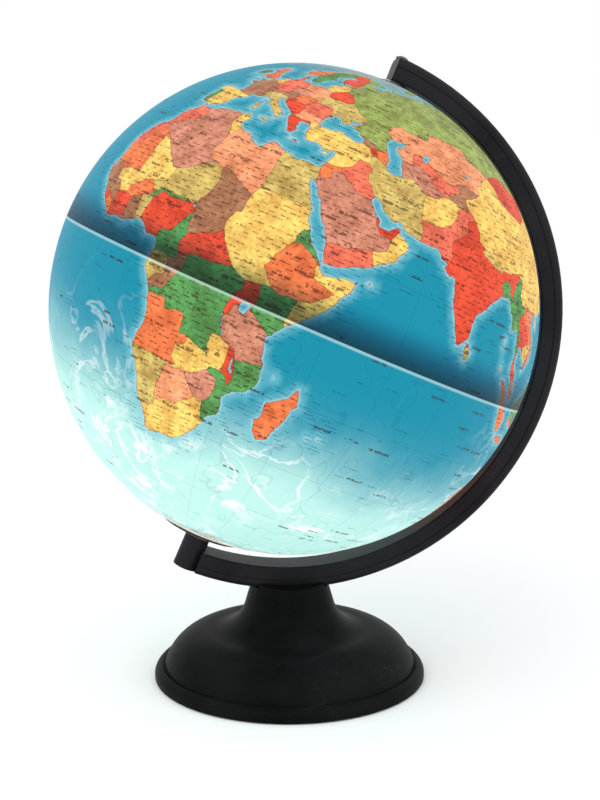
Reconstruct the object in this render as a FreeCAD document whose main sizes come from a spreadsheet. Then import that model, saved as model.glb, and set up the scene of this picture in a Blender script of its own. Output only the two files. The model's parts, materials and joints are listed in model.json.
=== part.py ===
import FreeCAD, Part
import math
import os
import Sketcher

# Illuminated desktop globe: a hollow ball in two halves on a tilted arm, with its lamp inside.
# It stands on a weighted round base.
# Frame: millimetres, +Z up, origin on the surface the globe stands on, at the middle of the base.
# The arm lies in the XZ plane with its back towards +X. The polar frame has its origin at the middle of
# the ball and its Z along the polar axis, towards the north pole. Angles are in degrees.

doc = FreeCAD.newDocument("desktop_globe")
sheet = doc.addObject("Spreadsheet::Sheet", "Sizes")
X_AXIS = FreeCAD.Vector(1, 0, 0)
Y_AXIS = FreeCAD.Vector(0, 1, 0)
Z_AXIS = FreeCAD.Vector(0, 0, 1)
NODES = []


# ---- sizes that keep both their number and the sheet expression they come from ----

class Dim:
    def __init__(self, value, text):
        self.value = float(value)
        self.text = text

    def __add__(self, other):
        return join(self, "+", other, self.value + num(other))

    def __radd__(self, other):
        return join(other, "+", self, num(other) + self.value)

    def __sub__(self, other):
        return join(self, "-", other, self.value - num(other))

    def __rsub__(self, other):
        return join(other, "-", self, num(other) - self.value)

    def __mul__(self, other):
        return join(self, "*", other, self.value * num(other))

    def __rmul__(self, other):
        return join(other, "*", self, num(other) * self.value)

    def __truediv__(self, other):
        return join(self, "/", other, self.value / num(other))

    def __rtruediv__(self, other):
        return join(other, "/", self, num(other) / self.value)

    def __neg__(self):
        return join(0, "-", self, -self.value)


def num(size):
    return size.value if isinstance(size, Dim) else float(size)


def text(size):
    return size.text if isinstance(size, Dim) else f"({float(size)!r})"


def join(a, sign, b, value):
    return Dim(value, f"({text(a)} {sign} {text(b)})")


def root(size):
    return Dim(math.sqrt(num(size)), f"sqrt({text(size)})")


def sine(angle):
    return Dim(math.sin(math.radians(num(angle))), f"sin({text(angle)})")


def cosine(angle):
    return Dim(math.cos(math.radians(num(angle))), f"cos({text(angle)})")


def arc_sine(ratio):
    return Dim(math.degrees(math.asin(num(ratio))), f"(asin({text(ratio)}) / 1 deg)")


def smaller(a, b):
    return Dim(min(num(a), num(b)), f"min({text(a)}; {text(b)})")


def larger(a, b):
    return Dim(max(num(a), num(b)), f"max({text(a)}; {text(b)})")


def leg(hypotenuse, other_leg):
    """The other short side of a right triangle, such as a sphere's height at a given radius."""
    return root(hypotenuse * hypotenuse - other_leg * other_leg)


def size(name, value):
    """One driving size: a cell of the sheet with an alias."""
    size.rows += 1
    sheet.set(f"A{size.rows}", name)
    sheet.set(f"B{size.rows}", repr(float(value)))
    sheet.setAlias(f"B{size.rows}", name)
    return Dim(value, f"Sizes.{name}")


size.rows = 0

# ---- driving sizes ----

globe_radius = size("globe_radius", 150.0)
ball_wall = size("ball_wall", 1.8)
ball_gap = size("ball_gap", 6.4)                  # arm radius less ball radius, at the arm's inside
globe_offset = size("globe_offset", 3.2)          # middle of the ball in front of the base's own axis
tilt = size("tilt", 23.5)
saddle_height = size("saddle_height", 58.9)       # lowest point of the arm above the table

arm_drop = size("arm_drop", 4.3)                  # the arm's centre lies this far down the polar axis
arm_depth = size("arm_depth", 14.4)
arm_width = size("arm_width", 24.0)
arm_wall = size("arm_wall", 2.4)
arm_past_north = size("arm_past_north", 3.6)      # arm end beyond the polar axis at the top
arm_before_south = size("arm_before_south", 6.0)  # arm end short of the polar axis at the bottom
north_block = size("north_block", 8.0)            # solid end of the arm round the north pin
south_wall = size("south_wall", 3.0)              # solid end of the arm at the south boss
strip_depth = size("strip_depth", 5.8)
strip_wall = size("strip_wall", 2.6)
strip_overhang = size("strip_overhang", 0.6)
strip_round = size("strip_round", 4.0)
rib_depth = size("rib_depth", 2.0)
rib_width = size("rib_width", 1.2)
rib_root = size("rib_root", 0.5)
rib_end = size("rib_end", 0.2)                    # degrees that a rib stops short of the hollow's end
snap_gap = size("snap_gap", 0.2)
south_boss_radius = size("south_boss_radius", 8.0)
plug_radius = size("plug_radius", 4.0)
plug_thick = size("plug_thick", 2.4)

base_radius = size("base_radius", 86.7)
base_wall = size("base_wall", 2.6)
rim_clearance = size("rim_clearance", 0.8)        # lower edge of the base above the table
rim_height = size("rim_height", 8.9)
rim_slope = size("rim_slope", 4.7)
rim_straight = size("rim_straight", 3.6)
rim_round = size("rim_round", 6.5)
crease_width = size("crease_width", 1.55)
crease_depth = size("crease_depth", 0.6)
dome_height = size("dome_height", 30.5)
flare_radius = size("flare_radius", 23.3)
flare_start = size("flare_start", 51.0)           # where the neck's flare leaves the dome
neck_taper = size("neck_taper", 16.5)
saddle_floor = size("saddle_floor", 6.0)
cheek_rise = size("cheek_rise", 3.0)
seat_gap = size("seat_gap", 0.05)
side_gap = size("side_gap", 0.1)

foot_height = size("foot_height", 2.0)
foot_inset = size("foot_inset", 0.8)
foot_margin = size("foot_margin", 12.7)           # middle of the foot ring inside the rim
foot_width = size("foot_width", 8.0)
cover_wall = size("cover_wall", 2.4)
cover_gap = size("cover_gap", 0.3)
cover_pad = size("cover_pad", 2.2)                # raised pad round each cover screw
recess_depth = size("recess_depth", 2.1)
post_margin = size("post_margin", 24.7)           # cover posts' circle inside the rim
cover_post_radius = size("cover_post_radius", 4.0)
cover_screw_bite = size("cover_screw_bite", 6.0)
ballast_gap = size("ballast_gap", 4.0)
ballast_width = size("ballast_width", 18.0)
ballast_thick = size("ballast_thick", 8.0)

inlet_height = size("inlet_height", 10.0)
inlet_bore = size("inlet_bore", 2.9)
inlet_wall = size("inlet_wall", 2.3)
inlet_lip = size("inlet_lip", 1.3)
inlet_flange = size("inlet_flange", 1.6)
inlet_bevel = size("inlet_bevel", 0.4)
inlet_barb = size("inlet_barb", 1.4)              # length of the barb behind the wall
notch_width = size("notch_width", 18.0)
boss_wall = size("boss_wall", 4.0)

screw_radius = size("screw_radius", 1.4)
screw_clearance = size("screw_clearance", 0.2)
screw_head_radius = size("screw_head_radius", 2.6)
screw_head_height = size("screw_head_height", 1.8)
screw_end_gap = size("screw_end_gap", 1.0)        # left beyond a screw's point in its hole
arm_screw_x = size("arm_screw_x", 15.0)
arm_screw_y = size("arm_screw_y", 5.3)
arm_post_radius = size("arm_post_radius", 2.7)

running_gap = size("running_gap", 0.05)
thrust_gap = size("thrust_gap", 0.3)
curve_gap = size("curve_gap", 0.1)                # between a flat ring and the curved wall it clamps
overrun = size("overrun", 1.0)                    # how far a cutting shape runs past what it cuts
pin_radius = size("pin_radius", 2.5)
pin_past_bush = size("pin_past_bush", 1.5)
pin_head_radius = size("pin_head_radius", 4.4)
pin_head_height = size("pin_head_height", 2.2)
bush_radius = size("bush_radius", 6.2)
bush_flange = size("bush_flange", 9.0)
bush_flange_thick = size("bush_flange_thick", 1.0)
bush_length = size("bush_length", 9.0)
bush_clip_thick = size("bush_clip_thick", 0.9)
plate_radius = size("plate_radius", 23.0)
plate_thick = size("plate_thick", 4.0)
plate_hub_radius = size("plate_hub_radius", 9.0)
plate_hub_height = size("plate_hub_height", 5.0)
collar_wall = size("collar_wall", 1.55)
collar_lip = size("collar_lip", 2.5)
collar_lip_thick = size("collar_lip_thick", 1.6)
collar_bead = size("collar_bead", 1.4)
collar_bead_thick = size("collar_bead_thick", 1.2)
lock_ring_width = size("lock_ring_width", 2.9)
joint_ring_wall = size("joint_ring_wall", 1.4)
joint_ring_north = size("joint_ring_north", 5.5)  # latitude that the joint ring reaches
joint_ring_south = size("joint_ring_south", 2.4)

clamp_setback = size("clamp_setback", 8.0)
clamp_width = size("clamp_width", 16.2)
clamp_depth = size("clamp_depth", 6.0)
clamp_gap = size("clamp_gap", 0.4)
clamp_wall = size("clamp_wall", 1.2)
clamp_screw_y = size("clamp_screw_y", 5.8)
block_length = size("block_length", 14.0)
block_width = size("block_width", 16.0)
block_height = size("block_height", 10.0)
block_way = size("block_way", 1.7)
block_pitch = size("block_pitch", 8.0)
block_screw_spread = size("block_screw_spread", 7.0)
block_screw_radius = size("block_screw_radius", 1.45)
block_screw_height = size("block_screw_height", 2.4)

tube_radius = size("tube_radius", 5.0)
tube_bore = size("tube_bore", 3.6)
tube_seat = size("tube_seat", 10.0)
tube_in_holder = size("tube_in_holder", 8.0)
nut_radius = size("nut_radius", 8.5)
nut_height = size("nut_height", 3.5)
holder_base = size("holder_base", 28.0)           # foot of the lampholder above the south pole
holder_radius = size("holder_radius", 13.5)
holder_length = size("holder_length", 36.0)
holder_wall = size("holder_wall", 2.0)
holder_bevel = size("holder_bevel", 3.5)
holder_floor = size("holder_floor", 10.0)
holder_ring_drop = size("holder_ring_drop", 12.0)
holder_ring_width = size("holder_ring_width", 2.5)
holder_ring_height = size("holder_ring_height", 6.0)
insert_floor = size("insert_floor", 4.0)
insert_drop = size("insert_drop", 2.0)            # insert's top below the holder's mouth
contact_wall = size("contact_wall", 0.5)
contact_radius = size("contact_radius", 3.0)
contact_stem = size("contact_stem", 1.5)
contact_rise = size("contact_rise", 1.8)
cap_radius = size("cap_radius", 6.9)              # small screw cap of the lamp
cap_length = size("cap_length", 18.0)
cap_pitch = size("cap_pitch", 2.8)
cap_groove = size("cap_groove", 0.5)
tip_radius = size("tip_radius", 2.4)
tip_height = size("tip_height", 1.0)
tip_length = size("tip_length", 3.0)              # from the centre contact to the cap's lower edge
bulb_radius = size("bulb_radius", 14.0)
bulb_length = size("bulb_length", 44.0)
bulb_flare = size("bulb_flare", 2.0)
glass_wall = size("glass_wall", 0.8)
stem_radius = size("stem_radius", 1.6)
stem_foot = size("stem_foot", 6.0)
filament_width = size("filament_width", 12.0)
filament_rise = size("filament_rise", 4.0)
wire_radius = size("wire_radius", 0.35)
lead_radius = size("lead_radius", 2.4)
lead_gap = size("lead_gap", 0.7)
lead_room = size("lead_room", 1.2)
lead_climb = size("lead_climb", 4.0)              # lead's climb through the neck, behind the arm's middle
lead_hole = size("lead_hole", 8.0)
lead_hole_shift = size("lead_hole_shift", 3.0)
lead_rise = size("lead_rise", 5.0)                # lead's lowest run above the bottom cover
lead_neck_bend = size("lead_neck_bend", 10.0)
lead_pole_bend = size("lead_pole_bend", 7.0)
lead_base_bend = size("lead_base_bend", 12.0)

# ---- places worked out from them ----

arm_radius = globe_radius + ball_gap + arm_depth  # outside of the arm, from the arm's own centre
globe_height = saddle_height + arm_radius + arm_drop * cosine(tilt)
arm_x = globe_offset - arm_drop * sine(tilt)
arm_z = globe_height - arm_drop * cosine(tilt)
strip_inner = arm_radius - strip_depth
arm_inner = arm_radius - arm_depth
web_outer = arm_inner + arm_wall
strip_half_width = arm_width / 2 + strip_overhang
channel_half_width = arm_width / 2 - arm_wall
north_end = 90 + arc_sine(arm_past_north / arm_radius)
south_end = -90 + arc_sine(arm_before_south / arm_radius)
hollow_north = 90 - arc_sine(north_block / arm_radius)
hollow_south = south_end + arc_sine(south_wall / arm_radius)
south_face = -(arm_radius + arm_drop)
pole = globe_radius
arm_bottom = saddle_height
floor_bottom = arm_bottom - saddle_floor
crease_x = base_radius - rim_slope - crease_width
crease_z = rim_height - crease_depth
dome_rise = dome_height - crease_z
dome_span = crease_x - flare_start
dome_radius = (dome_span * dome_span + dome_rise * dome_rise) / (2 * dome_rise)
cover_bottom = foot_height - foot_inset
cover_top = cover_bottom + cover_wall
foot_out = base_radius - foot_margin + foot_width / 2
foot_in = base_radius - foot_margin - foot_width / 2
cover_post_circle = base_radius - post_margin
inlet_top = inlet_height + inlet_bore + inlet_wall + inlet_lip
dome_inside = flare_start + leg(dome_radius - base_wall, inlet_top - dome_height + dome_radius)
inlet_face = dome_inside + boss_wall + curve_gap  # the inlet stands where the dome's inside clears its top
holder_bottom = -(pole - holder_base)
holder_top = holder_bottom + holder_length
insert_bottom = holder_bottom + holder_floor
contact_low = insert_bottom + insert_floor + curve_gap
bulb_low = contact_low + contact_rise
lead_circle = web_outer + lead_gap + lead_radius
lead_x = arm_x + lead_climb
block_end = lead_x + lead_base_bend + block_length
clamp_y = inlet_face - boss_wall - clamp_setback
ballast_outer = smaller(cover_post_circle - cover_post_radius, clamp_y - clamp_depth / 2) - ballast_gap
ballast_inner = larger(ballast_outer - ballast_width, block_end + ballast_gap)


# ---- small tools ----

def bind(obj, prop, value):
    """Sets a property and ties it to the sheet."""
    setattr(obj, prop, num(value))
    if isinstance(value, Dim):
        obj.setExpression(prop, value.text)


def place(obj, x=0, y=0, z=0, axis=Z_AXIS, angle=0):
    obj.Placement = FreeCAD.Placement(
        FreeCAD.Vector(num(x), num(y), num(z)), FreeCAD.Rotation(axis, num(angle)))
    for letter, value in zip("xyz", (x, y, z)):
        if isinstance(value, Dim):
            obj.setExpression(f"Placement.Base.{letter}", value.text)
    if isinstance(angle, Dim):
        obj.setExpression("Placement.Rotation.Angle", angle.text)
    return obj


def put_polar(obj):
    """Turns a piece built about the ball's middle into the tilted polar frame."""
    return place(obj, x=globe_offset, z=globe_height, axis=Y_AXIS, angle=tilt)


def node(label, obj):
    obj.Label = label
    NODES.append(obj)
    return obj


def cylinder(radius, height, x=0, y=0, z=0, axis=Z_AXIS, angle=0):
    obj = doc.addObject("Part::Cylinder", "cylinder")
    bind(obj, "Radius", radius)
    bind(obj, "Height", height)
    return place(obj, x, y, z, axis, angle)


def along_y(radius, length, x, middle_y, z):
    """A cylinder whose axis runs along Y, centred on middle_y."""
    return cylinder(radius, length, x, middle_y + length / 2, z, X_AXIS, 90)


def box(length, width, height, x=0, y=0, z=0):
    """A box centred on x and y, standing on z."""
    obj = doc.addObject("Part::Box", "box")
    bind(obj, "Length", length)
    bind(obj, "Width", width)
    bind(obj, "Height", height)
    return place(obj, x - length / 2, y - width / 2, z)


def sphere(radius, low=-90, high=90):
    obj = doc.addObject("Part::Sphere", "sphere")
    bind(obj, "Radius", radius)
    bind(obj, "Angle1", low)
    bind(obj, "Angle2", high)
    return obj


def fuse(*pieces):
    obj = doc.addObject("Part::MultiFuse", "fuse")
    obj.Shapes = list(pieces)
    obj.Refine = True
    return obj


def cut(base, *tools):
    obj = doc.addObject("Part::Cut", "cut")
    obj.Base = base
    obj.Tool = tools[0] if len(tools) == 1 else fuse(*tools)
    obj.Refine = True
    return obj


def common(a, b):
    obj = doc.addObject("Part::Common", "common")
    obj.Base = a
    obj.Tool = b
    return obj


def group(pieces):
    obj = doc.addObject("Part::Compound", "group")
    obj.Links = list(pieces)
    return obj


def origin_plane(body, role):
    return next(plane for plane in body.Origin.OriginFeatures if plane.Role == role)


def bent_edge(start, end, radius):
    """An arc from start to end. A positive radius turns left along the way, a negative one right."""
    left_turn = num(radius) > 0
    a, b = (start, end) if left_turn else (end, start)
    chord = b - a
    reach = abs(num(radius))
    rise = math.sqrt(reach ** 2 - (chord.Length / 2) ** 2)
    toward = FreeCAD.Vector(-chord.y, chord.x, 0).normalize()
    centre = (a + b) * 0.5 + toward * rise
    first = math.atan2(a.y - centre.y, a.x - centre.x)
    last = math.atan2(b.y - centre.y, b.x - centre.x)
    arc = Part.ArcOfCircle(Part.Circle(centre, Z_AXIS, reach), first, last)
    return arc, left_turn


def draw(sketch, outline):
    """A closed outline of (x, y) points. A third value is the radius of the edge that leaves the point."""
    spots = [FreeCAD.Vector(num(p[0]), num(p[1]), 0) for p in outline]
    starts, ends, rules = [], [], []
    for i, point in enumerate(outline):
        after = spots[(i + 1) % len(spots)]
        if len(point) == 2:
            sketch.addGeometry(Part.LineSegment(spots[i], after), False)
            starts.append((i, 1))
            ends.append((i, 2))
            continue
        arc, forward = bent_edge(spots[i], after, point[2])
        sketch.addGeometry(arc, False)
        starts.append((i, 1 if forward else 2))
        ends.append((i, 2 if forward else 1))
        reach = point[2] if forward else -point[2]
        rules.append((Sketcher.Constraint("Radius", i, num(reach)), reach))
    for i, point in enumerate(outline):
        sketch.addConstraint(Sketcher.Constraint("Coincident", *ends[i - 1], *starts[i]))
        for kind, value in (("DistanceX", point[0]), ("DistanceY", point[1])):
            rules.append((Sketcher.Constraint(kind, -1, 1, *starts[i], num(value)), value))
    for rule, value in rules:
        index = sketch.addConstraint(rule)
        if isinstance(value, Dim):
            sketch.setExpression(f"Constraints[{index}]", value.text)


def lathe(label, outline):
    """A turned piece: a closed outline of (radius, height) points turned about the body's Z axis."""
    body = doc.addObject("PartDesign::Body", label)
    sketch = body.newObject("Sketcher::SketchObject", label + "_outline")
    sketch.AttachmentSupport = [(origin_plane(body, "XZ_Plane"), "")]
    sketch.MapMode = "FlatFace"
    draw(sketch, outline)
    turn = body.newObject("PartDesign::Revolution", label + "_turn")
    turn.Profile = sketch
    turn.ReferenceAxis = (sketch, ["V_Axis"])
    turn.Angle = 360
    body.Tip = turn
    return body


def arc_feature(body, kind, name, outline, start, sweep):
    """Turns a (radius, width) section about the arm's centre, from the angle start down by sweep."""
    sketch = body.newObject("Sketcher::SketchObject", name + "_section")
    sketch.AttachmentSupport = [(origin_plane(body, "XY_Plane"), "")]
    sketch.MapMode = "FlatFace"
    sketch.AttachmentOffset = FreeCAD.Placement(
        FreeCAD.Vector(0, 0, -num(arm_drop)), FreeCAD.Rotation(Y_AXIS, -num(start)))
    sketch.setExpression("AttachmentOffset.Base.z", (-arm_drop).text)
    sketch.setExpression("AttachmentOffset.Rotation.Angle", (-start).text)
    draw(sketch, outline)
    doc.recompute()
    feature = body.newObject(kind, name)
    feature.Profile = sketch
    feature.ReferenceAxis = (sketch, ["V_Axis"])
    bind(feature, "Angle", sweep)
    body.Tip = feature
    doc.recompute()
    return feature


def screw(length, x, y, z, up=True):
    """A cross-head screw whose head bears at z, with its thread towards +Z or -Z."""
    flip = 0 if up else 180
    shank = cylinder(screw_radius, length)
    head = cylinder(screw_head_radius, screw_head_height, z=-screw_head_height)
    slot_depth = screw_head_height * 0.55
    slot_width = screw_head_radius * 0.3
    slots = [box(screw_head_radius * 1.2, slot_width, slot_depth, z=-screw_head_height),
             box(slot_width, screw_head_radius * 1.2, slot_depth, z=-screw_head_height)]
    return place(cut(fuse(shank, head), *slots), x, y, z, X_AXIS, flip)


def around(count, radius, first=0):
    """Points on a circle about the base's axis."""
    turns = [first + 360 / count * i for i in range(count)]
    return [(radius * math.cos(math.radians(a)), radius * math.sin(math.radians(a))) for a in turns]


# ---- the ball ----

def hemispheres():
    north = cut(sphere(globe_radius, 0, 90), sphere(globe_radius - ball_wall),
                cylinder(bush_radius, globe_radius))
    put_polar(node("north_hemisphere", north))
    opening = plate_radius + running_gap + collar_wall
    south = cut(sphere(globe_radius, -90, 0), sphere(globe_radius - ball_wall),
                cylinder(opening, globe_radius, z=-globe_radius))
    put_polar(node("south_hemisphere", south))


def joint_ring():
    outer = globe_radius - ball_wall
    ring = cut(sphere(outer, -joint_ring_south, joint_ring_north), sphere(outer - joint_ring_wall))
    put_polar(node("equator_joint_ring", ring))


def north_bearing():
    flange_top = pole + bush_flange_thick
    bush_bore = pin_radius + running_gap
    low = pole - bush_length
    bush = lathe("north_bush", [
        (bush_bore, low), (bush_radius, low), (bush_radius, pole), (bush_flange, pole),
        (bush_flange, flange_top), (bush_bore, flange_top)])
    put_polar(node("north_bush", bush))
    clip_top = leg(globe_radius - ball_wall, bush_flange) - curve_gap
    clip = lathe("north_bush_clip", [
        (bush_radius, clip_top - bush_clip_thick), (bush_flange, clip_top - bush_clip_thick),
        (bush_flange, clip_top), (bush_radius, clip_top)])
    put_polar(node("north_bush_clip", clip))
    washer_low = flange_top + thrust_gap
    washer_top = leg(arm_inner, bush_radius) - arm_drop
    washer = lathe("north_washer", [
        (pin_radius, washer_low), (bush_radius, washer_low), (bush_radius, washer_top),
        (pin_radius, washer_top)])
    put_polar(node("north_washer", washer))
    arm_top = arm_radius - arm_drop
    tip = pin_radius * 0.5
    pin_low = low - pin_past_bush
    pin = lathe("north_pin", [
        (0, pin_low), (tip, pin_low), (pin_radius, pin_low + tip), (pin_radius, arm_top),
        (pin_head_radius, arm_top), (pin_head_radius, arm_top + pin_head_height * 0.4),
        (pin_head_radius * 0.5, arm_top + pin_head_height), (0, arm_top + pin_head_height)])
    put_polar(node("north_pin", pin))


def south_bearing():
    plate_low = -pole
    plate_top = plate_low + plate_thick
    hub_top = plate_top + plate_hub_height
    plate = lathe("bearing_plate", [
        (tube_radius, plate_low), (plate_radius, plate_low), (plate_radius, plate_top),
        (plate_hub_radius, plate_top), (plate_hub_radius, hub_top), (tube_radius, hub_top)])
    put_polar(node("bearing_plate", plate))
    bore = plate_radius + running_gap
    wall = bore + collar_wall
    bead_top = -leg(globe_radius, wall) - curve_gap
    lip_low = plate_top + thrust_gap
    collar_top = lip_low + collar_lip_thick
    bead = wall + collar_bead
    bead_low = bead_top - collar_bead_thick
    collar = lathe("south_collar", [
        (bore, bead_low), (bead, bead_low), (bead, bead_top), (wall, bead_top),
        (wall, collar_top), (bore - collar_lip, collar_top), (bore - collar_lip, lip_low),
        (bore, lip_low)])
    put_polar(node("south_collar", collar))
    ring_low = -leg(globe_radius - ball_wall, wall + lock_ring_width) + curve_gap
    lock = lathe("collar_lock_ring", [
        (wall, ring_low), (wall + lock_ring_width, ring_low), (wall + lock_ring_width, collar_top),
        (wall, collar_top)])
    put_polar(node("collar_lock_ring", lock))


# ---- the arm ----

def lead_passage():
    """The straight way for the lamp lead from the arm's channel into the south boss."""
    length = arm_before_south * 3
    return cylinder(lead_radius + lead_room, length, z=-(lead_circle + arm_drop), axis=Y_AXIS, angle=90)


def neck_screw_spots():
    return [(arm_x + side * arm_screw_x, back * arm_screw_y) for side in (-1, 1) for back in (-1, 1)]


def neck_lead_hole():
    return cylinder(lead_hole, saddle_floor * 4, lead_x - lead_hole_shift, 0, floor_bottom - overrun)


def arm():
    body = doc.addObject("PartDesign::Body", "arm_channel")
    half = arm_width / 2
    edge = arm_wall / 3
    sweep = north_end - south_end
    arc_feature(body, "PartDesign::Revolution", "channel_outside", [
        (arm_inner, -(half - edge)), (arm_inner + edge, -half), (strip_inner, -half),
        (strip_inner, half), (arm_inner + edge, half), (arm_inner, half - edge)], north_end, sweep)
    arc_feature(body, "PartDesign::Groove", "channel_hollow", [
        (web_outer, -channel_half_width), (strip_inner + overrun, -channel_half_width),
        (strip_inner + overrun, channel_half_width), (web_outer, channel_half_width)],
        hollow_north, hollow_north - hollow_south)
    boss_height = -pole - south_face
    boss = cylinder(south_boss_radius, boss_height, z=south_face)
    turned = cut(
        fuse(body, boss),
        cylinder(plug_radius, boss_height, z=south_face),
        cylinder(tube_radius, tube_seat, z=-(pole + tube_seat)),
        cylinder(pin_radius, arm_depth * 2, z=arm_inner - arm_drop - arm_wall),
        lead_passage())
    put_polar(turned)
    post_outer = arm_radius - strip_wall - seat_gap
    post_ring = cut(along_y(post_outer, arm_width, arm_x, 0, arm_z),
                    along_y(web_outer - arm_wall / 2, arm_width, arm_x, 0, arm_z))
    posts = [cylinder(arm_post_radius, arm_depth * 2, x, y, arm_bottom) for x, y in neck_screw_spots()]
    pilot_top = arm_z - web_outer - snap_gap
    pilot_low = arm_bottom - overrun
    pilots = [cylinder(screw_radius, pilot_top - pilot_low, x, y, pilot_low)
              for x, y in neck_screw_spots()]
    node("meridian_arm", cut(fuse(turned, common(fuse(*posts), post_ring)), *pilots))


def cover_strip():
    body = doc.addObject("PartDesign::Body", "strip_blank")
    half = strip_half_width
    inside = channel_half_width - snap_gap
    rib_inside = inside - rib_width
    sweep = north_end - south_end
    round_start = arm_radius - strip_round
    arc_feature(body, "PartDesign::Revolution", "strip_outside", [
        (strip_inner, -half), (round_start, -half, strip_round), (arm_radius, -(half - strip_round)),
        (arm_radius, half - strip_round, strip_round), (round_start, half), (strip_inner, half)],
        north_end, sweep)
    arc_feature(body, "PartDesign::Groove", "strip_hollow", [
        (strip_inner - overrun, -rib_inside), (arm_radius - strip_wall, -rib_inside),
        (arm_radius - strip_wall, rib_inside), (strip_inner - overrun, rib_inside)],
        hollow_north, hollow_north - hollow_south)
    for name, side in (("front_rib", -1), ("back_rib", 1)):
        arc_feature(body, "PartDesign::Revolution", name, [
            (strip_inner - rib_depth, side * rib_inside), (strip_inner + rib_root, side * rib_inside),
            (strip_inner + rib_root, side * inside), (strip_inner - rib_depth, side * inside)],
            hollow_north - rib_end, hollow_north - hollow_south - 2 * rib_end)
    put_polar(body)
    boss_room = cylinder(south_boss_radius + seat_gap, arm_depth, z=south_face)
    pin_hole = cylinder(pin_radius, arm_depth, z=strip_inner - arm_drop - overrun)
    holes = [cylinder(screw_radius + screw_clearance, arm_depth, x, y, arm_bottom - overrun)
             for x, y in neck_screw_spots()]
    tools = [put_polar(fuse(boss_room, pin_hole, lead_passage())), neck_lead_hole()] + holes
    node("arm_cover_strip", cut(body, *tools))


def arm_fasteners():
    length = arm_z - web_outer - screw_end_gap - floor_bottom
    screws = [screw(length, x, y, floor_bottom) for x, y in neck_screw_spots()]
    node("arm_screws", group(screws))
    plug_top = south_face + plug_thick
    plug = lathe("pole_plug", [
        (0, south_face), (plug_radius, south_face), (plug_radius, plug_top), (0, plug_top)])
    put_polar(node("pole_plug", plug))


# ---- the base ----

def flare_end(inset):
    """Where the neck's flare turns into its straight taper, with the outside moved inwards by inset."""
    reach = flare_radius + inset
    centre_z = dome_height + flare_radius
    return flare_start - reach * cosine(neck_taper), centre_z - reach * sine(neck_taper)


def taper_x(start, z):
    """The neck's radius at the height z, on the straight taper that leaves start."""
    return start[0] - (z - start[1]) * sine(neck_taper) / cosine(neck_taper)


def base_form():
    """The base and neck as one solid, up to a blank end that the saddle is cut from."""
    turn = flare_end(0)
    neck_top = arm_bottom + cheek_rise * 3
    return lathe("base_form", [
        (base_radius, rim_clearance), (base_radius, rim_straight, rim_round),
        (base_radius - rim_slope, rim_height), (crease_x, crease_z, dome_radius),
        (flare_start, dome_height, -flare_radius), turn, (taper_x(turn, neck_top), neck_top),
        (0, neck_top), (0, rim_clearance)])


def base_hollow():
    """The space inside the base: the outside moved in by the wall, up to the saddle floor."""
    turn = flare_end(base_wall)
    crest = dome_radius - base_wall
    inner_rim = base_radius - base_wall
    shoulder = base_radius - rim_slope - base_wall
    dome_foot = flare_start + leg(crest, crease_z - dome_height + dome_radius)
    return lathe("base_hollow", [
        (0, 0), (inner_rim, 0), (inner_rim, rim_straight), (shoulder, crease_z - base_wall / 2),
        (dome_foot, crease_z, crest), (flare_start, dome_height - base_wall, -(flare_radius + base_wall)),
        turn, (taper_x(turn, floor_bottom), floor_bottom), (0, floor_bottom)])


def cover_screw_spots():
    return around(3, cover_post_circle, 30)


def ballast_screw_spots():
    return around(3, (ballast_inner + ballast_outer) / 2, 90)


def base_shell():
    wall = cut(base_form(), base_hollow())
    post_low = cover_top + cover_pad
    post_height = dome_height - post_low
    posts = [cylinder(cover_post_radius, post_height, x, y, post_low) for x, y in cover_screw_spots()]
    inlet_boss = box(notch_width + 2 * boss_wall, boss_wall * 2, dome_height - cover_top - cover_gap,
                     0, inlet_face, cover_top + cover_gap)
    inner = common(fuse(inlet_boss, *posts), base_form())
    notch = box(notch_width, base_radius, inlet_height * 1.8, 0, inlet_face + base_radius / 2, 0)
    pilots = [cylinder(screw_radius, post_height * 0.6, x, y, post_low - overrun)
              for x, y in cover_screw_spots()]
    cheeks = along_y(arm_radius - cheek_rise, base_radius, arm_x, 0, arm_z)
    saddle = along_y(arm_radius + seat_gap, 2 * (strip_half_width + side_gap), arm_x, 0, arm_z)
    holes = [cylinder(screw_radius + screw_clearance, saddle_floor * 3, x, y, floor_bottom - overrun)
             for x, y in neck_screw_spots()]
    inlet = along_y(inlet_bore + inlet_wall, base_radius, 0, inlet_face, inlet_height)
    shell = cut(fuse(wall, inner), notch, cheeks, saddle, inlet, neck_lead_hole(), *pilots, *holes)
    node("base_shell", shell)


def base_bottom():
    groove_low = cover_bottom - overrun
    groove_height = foot_inset + overrun
    plate = cylinder(base_radius - base_wall - cover_gap, cover_wall, z=cover_bottom)
    groove = cut(cylinder(foot_out, groove_height, z=groove_low),
                 cylinder(foot_in, groove_height, z=groove_low))
    room = box(notch_width, base_radius, base_radius, 0, inlet_face - cover_gap + base_radius / 2, 0)
    spots = cover_screw_spots()
    pads = [cylinder(cover_post_radius, cover_pad, x, y, cover_top) for x, y in spots]
    recesses = [cylinder(screw_head_radius + screw_clearance, recess_depth, x, y, cover_bottom)
                for x, y in spots]
    holes = [cylinder(screw_radius + screw_clearance, cover_wall + cover_pad, x, y, cover_bottom)
             for x, y in spots]
    thread_holes = [cylinder(screw_radius, cover_wall * 2, x, y, cover_bottom - overrun)
                    for x, y in ballast_screw_spots()]
    node("bottom_cover", cut(fuse(plate, *pads), groove, room, *recesses, *holes, *thread_holes))
    node("foot_ring", cut(cylinder(foot_out, foot_height), cylinder(foot_in, foot_height)))
    length = cover_wall + cover_pad - recess_depth + cover_screw_bite
    screws = [screw(length, x, y, cover_bottom + recess_depth) for x, y in spots]
    node("cover_screws", group(screws))


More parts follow.
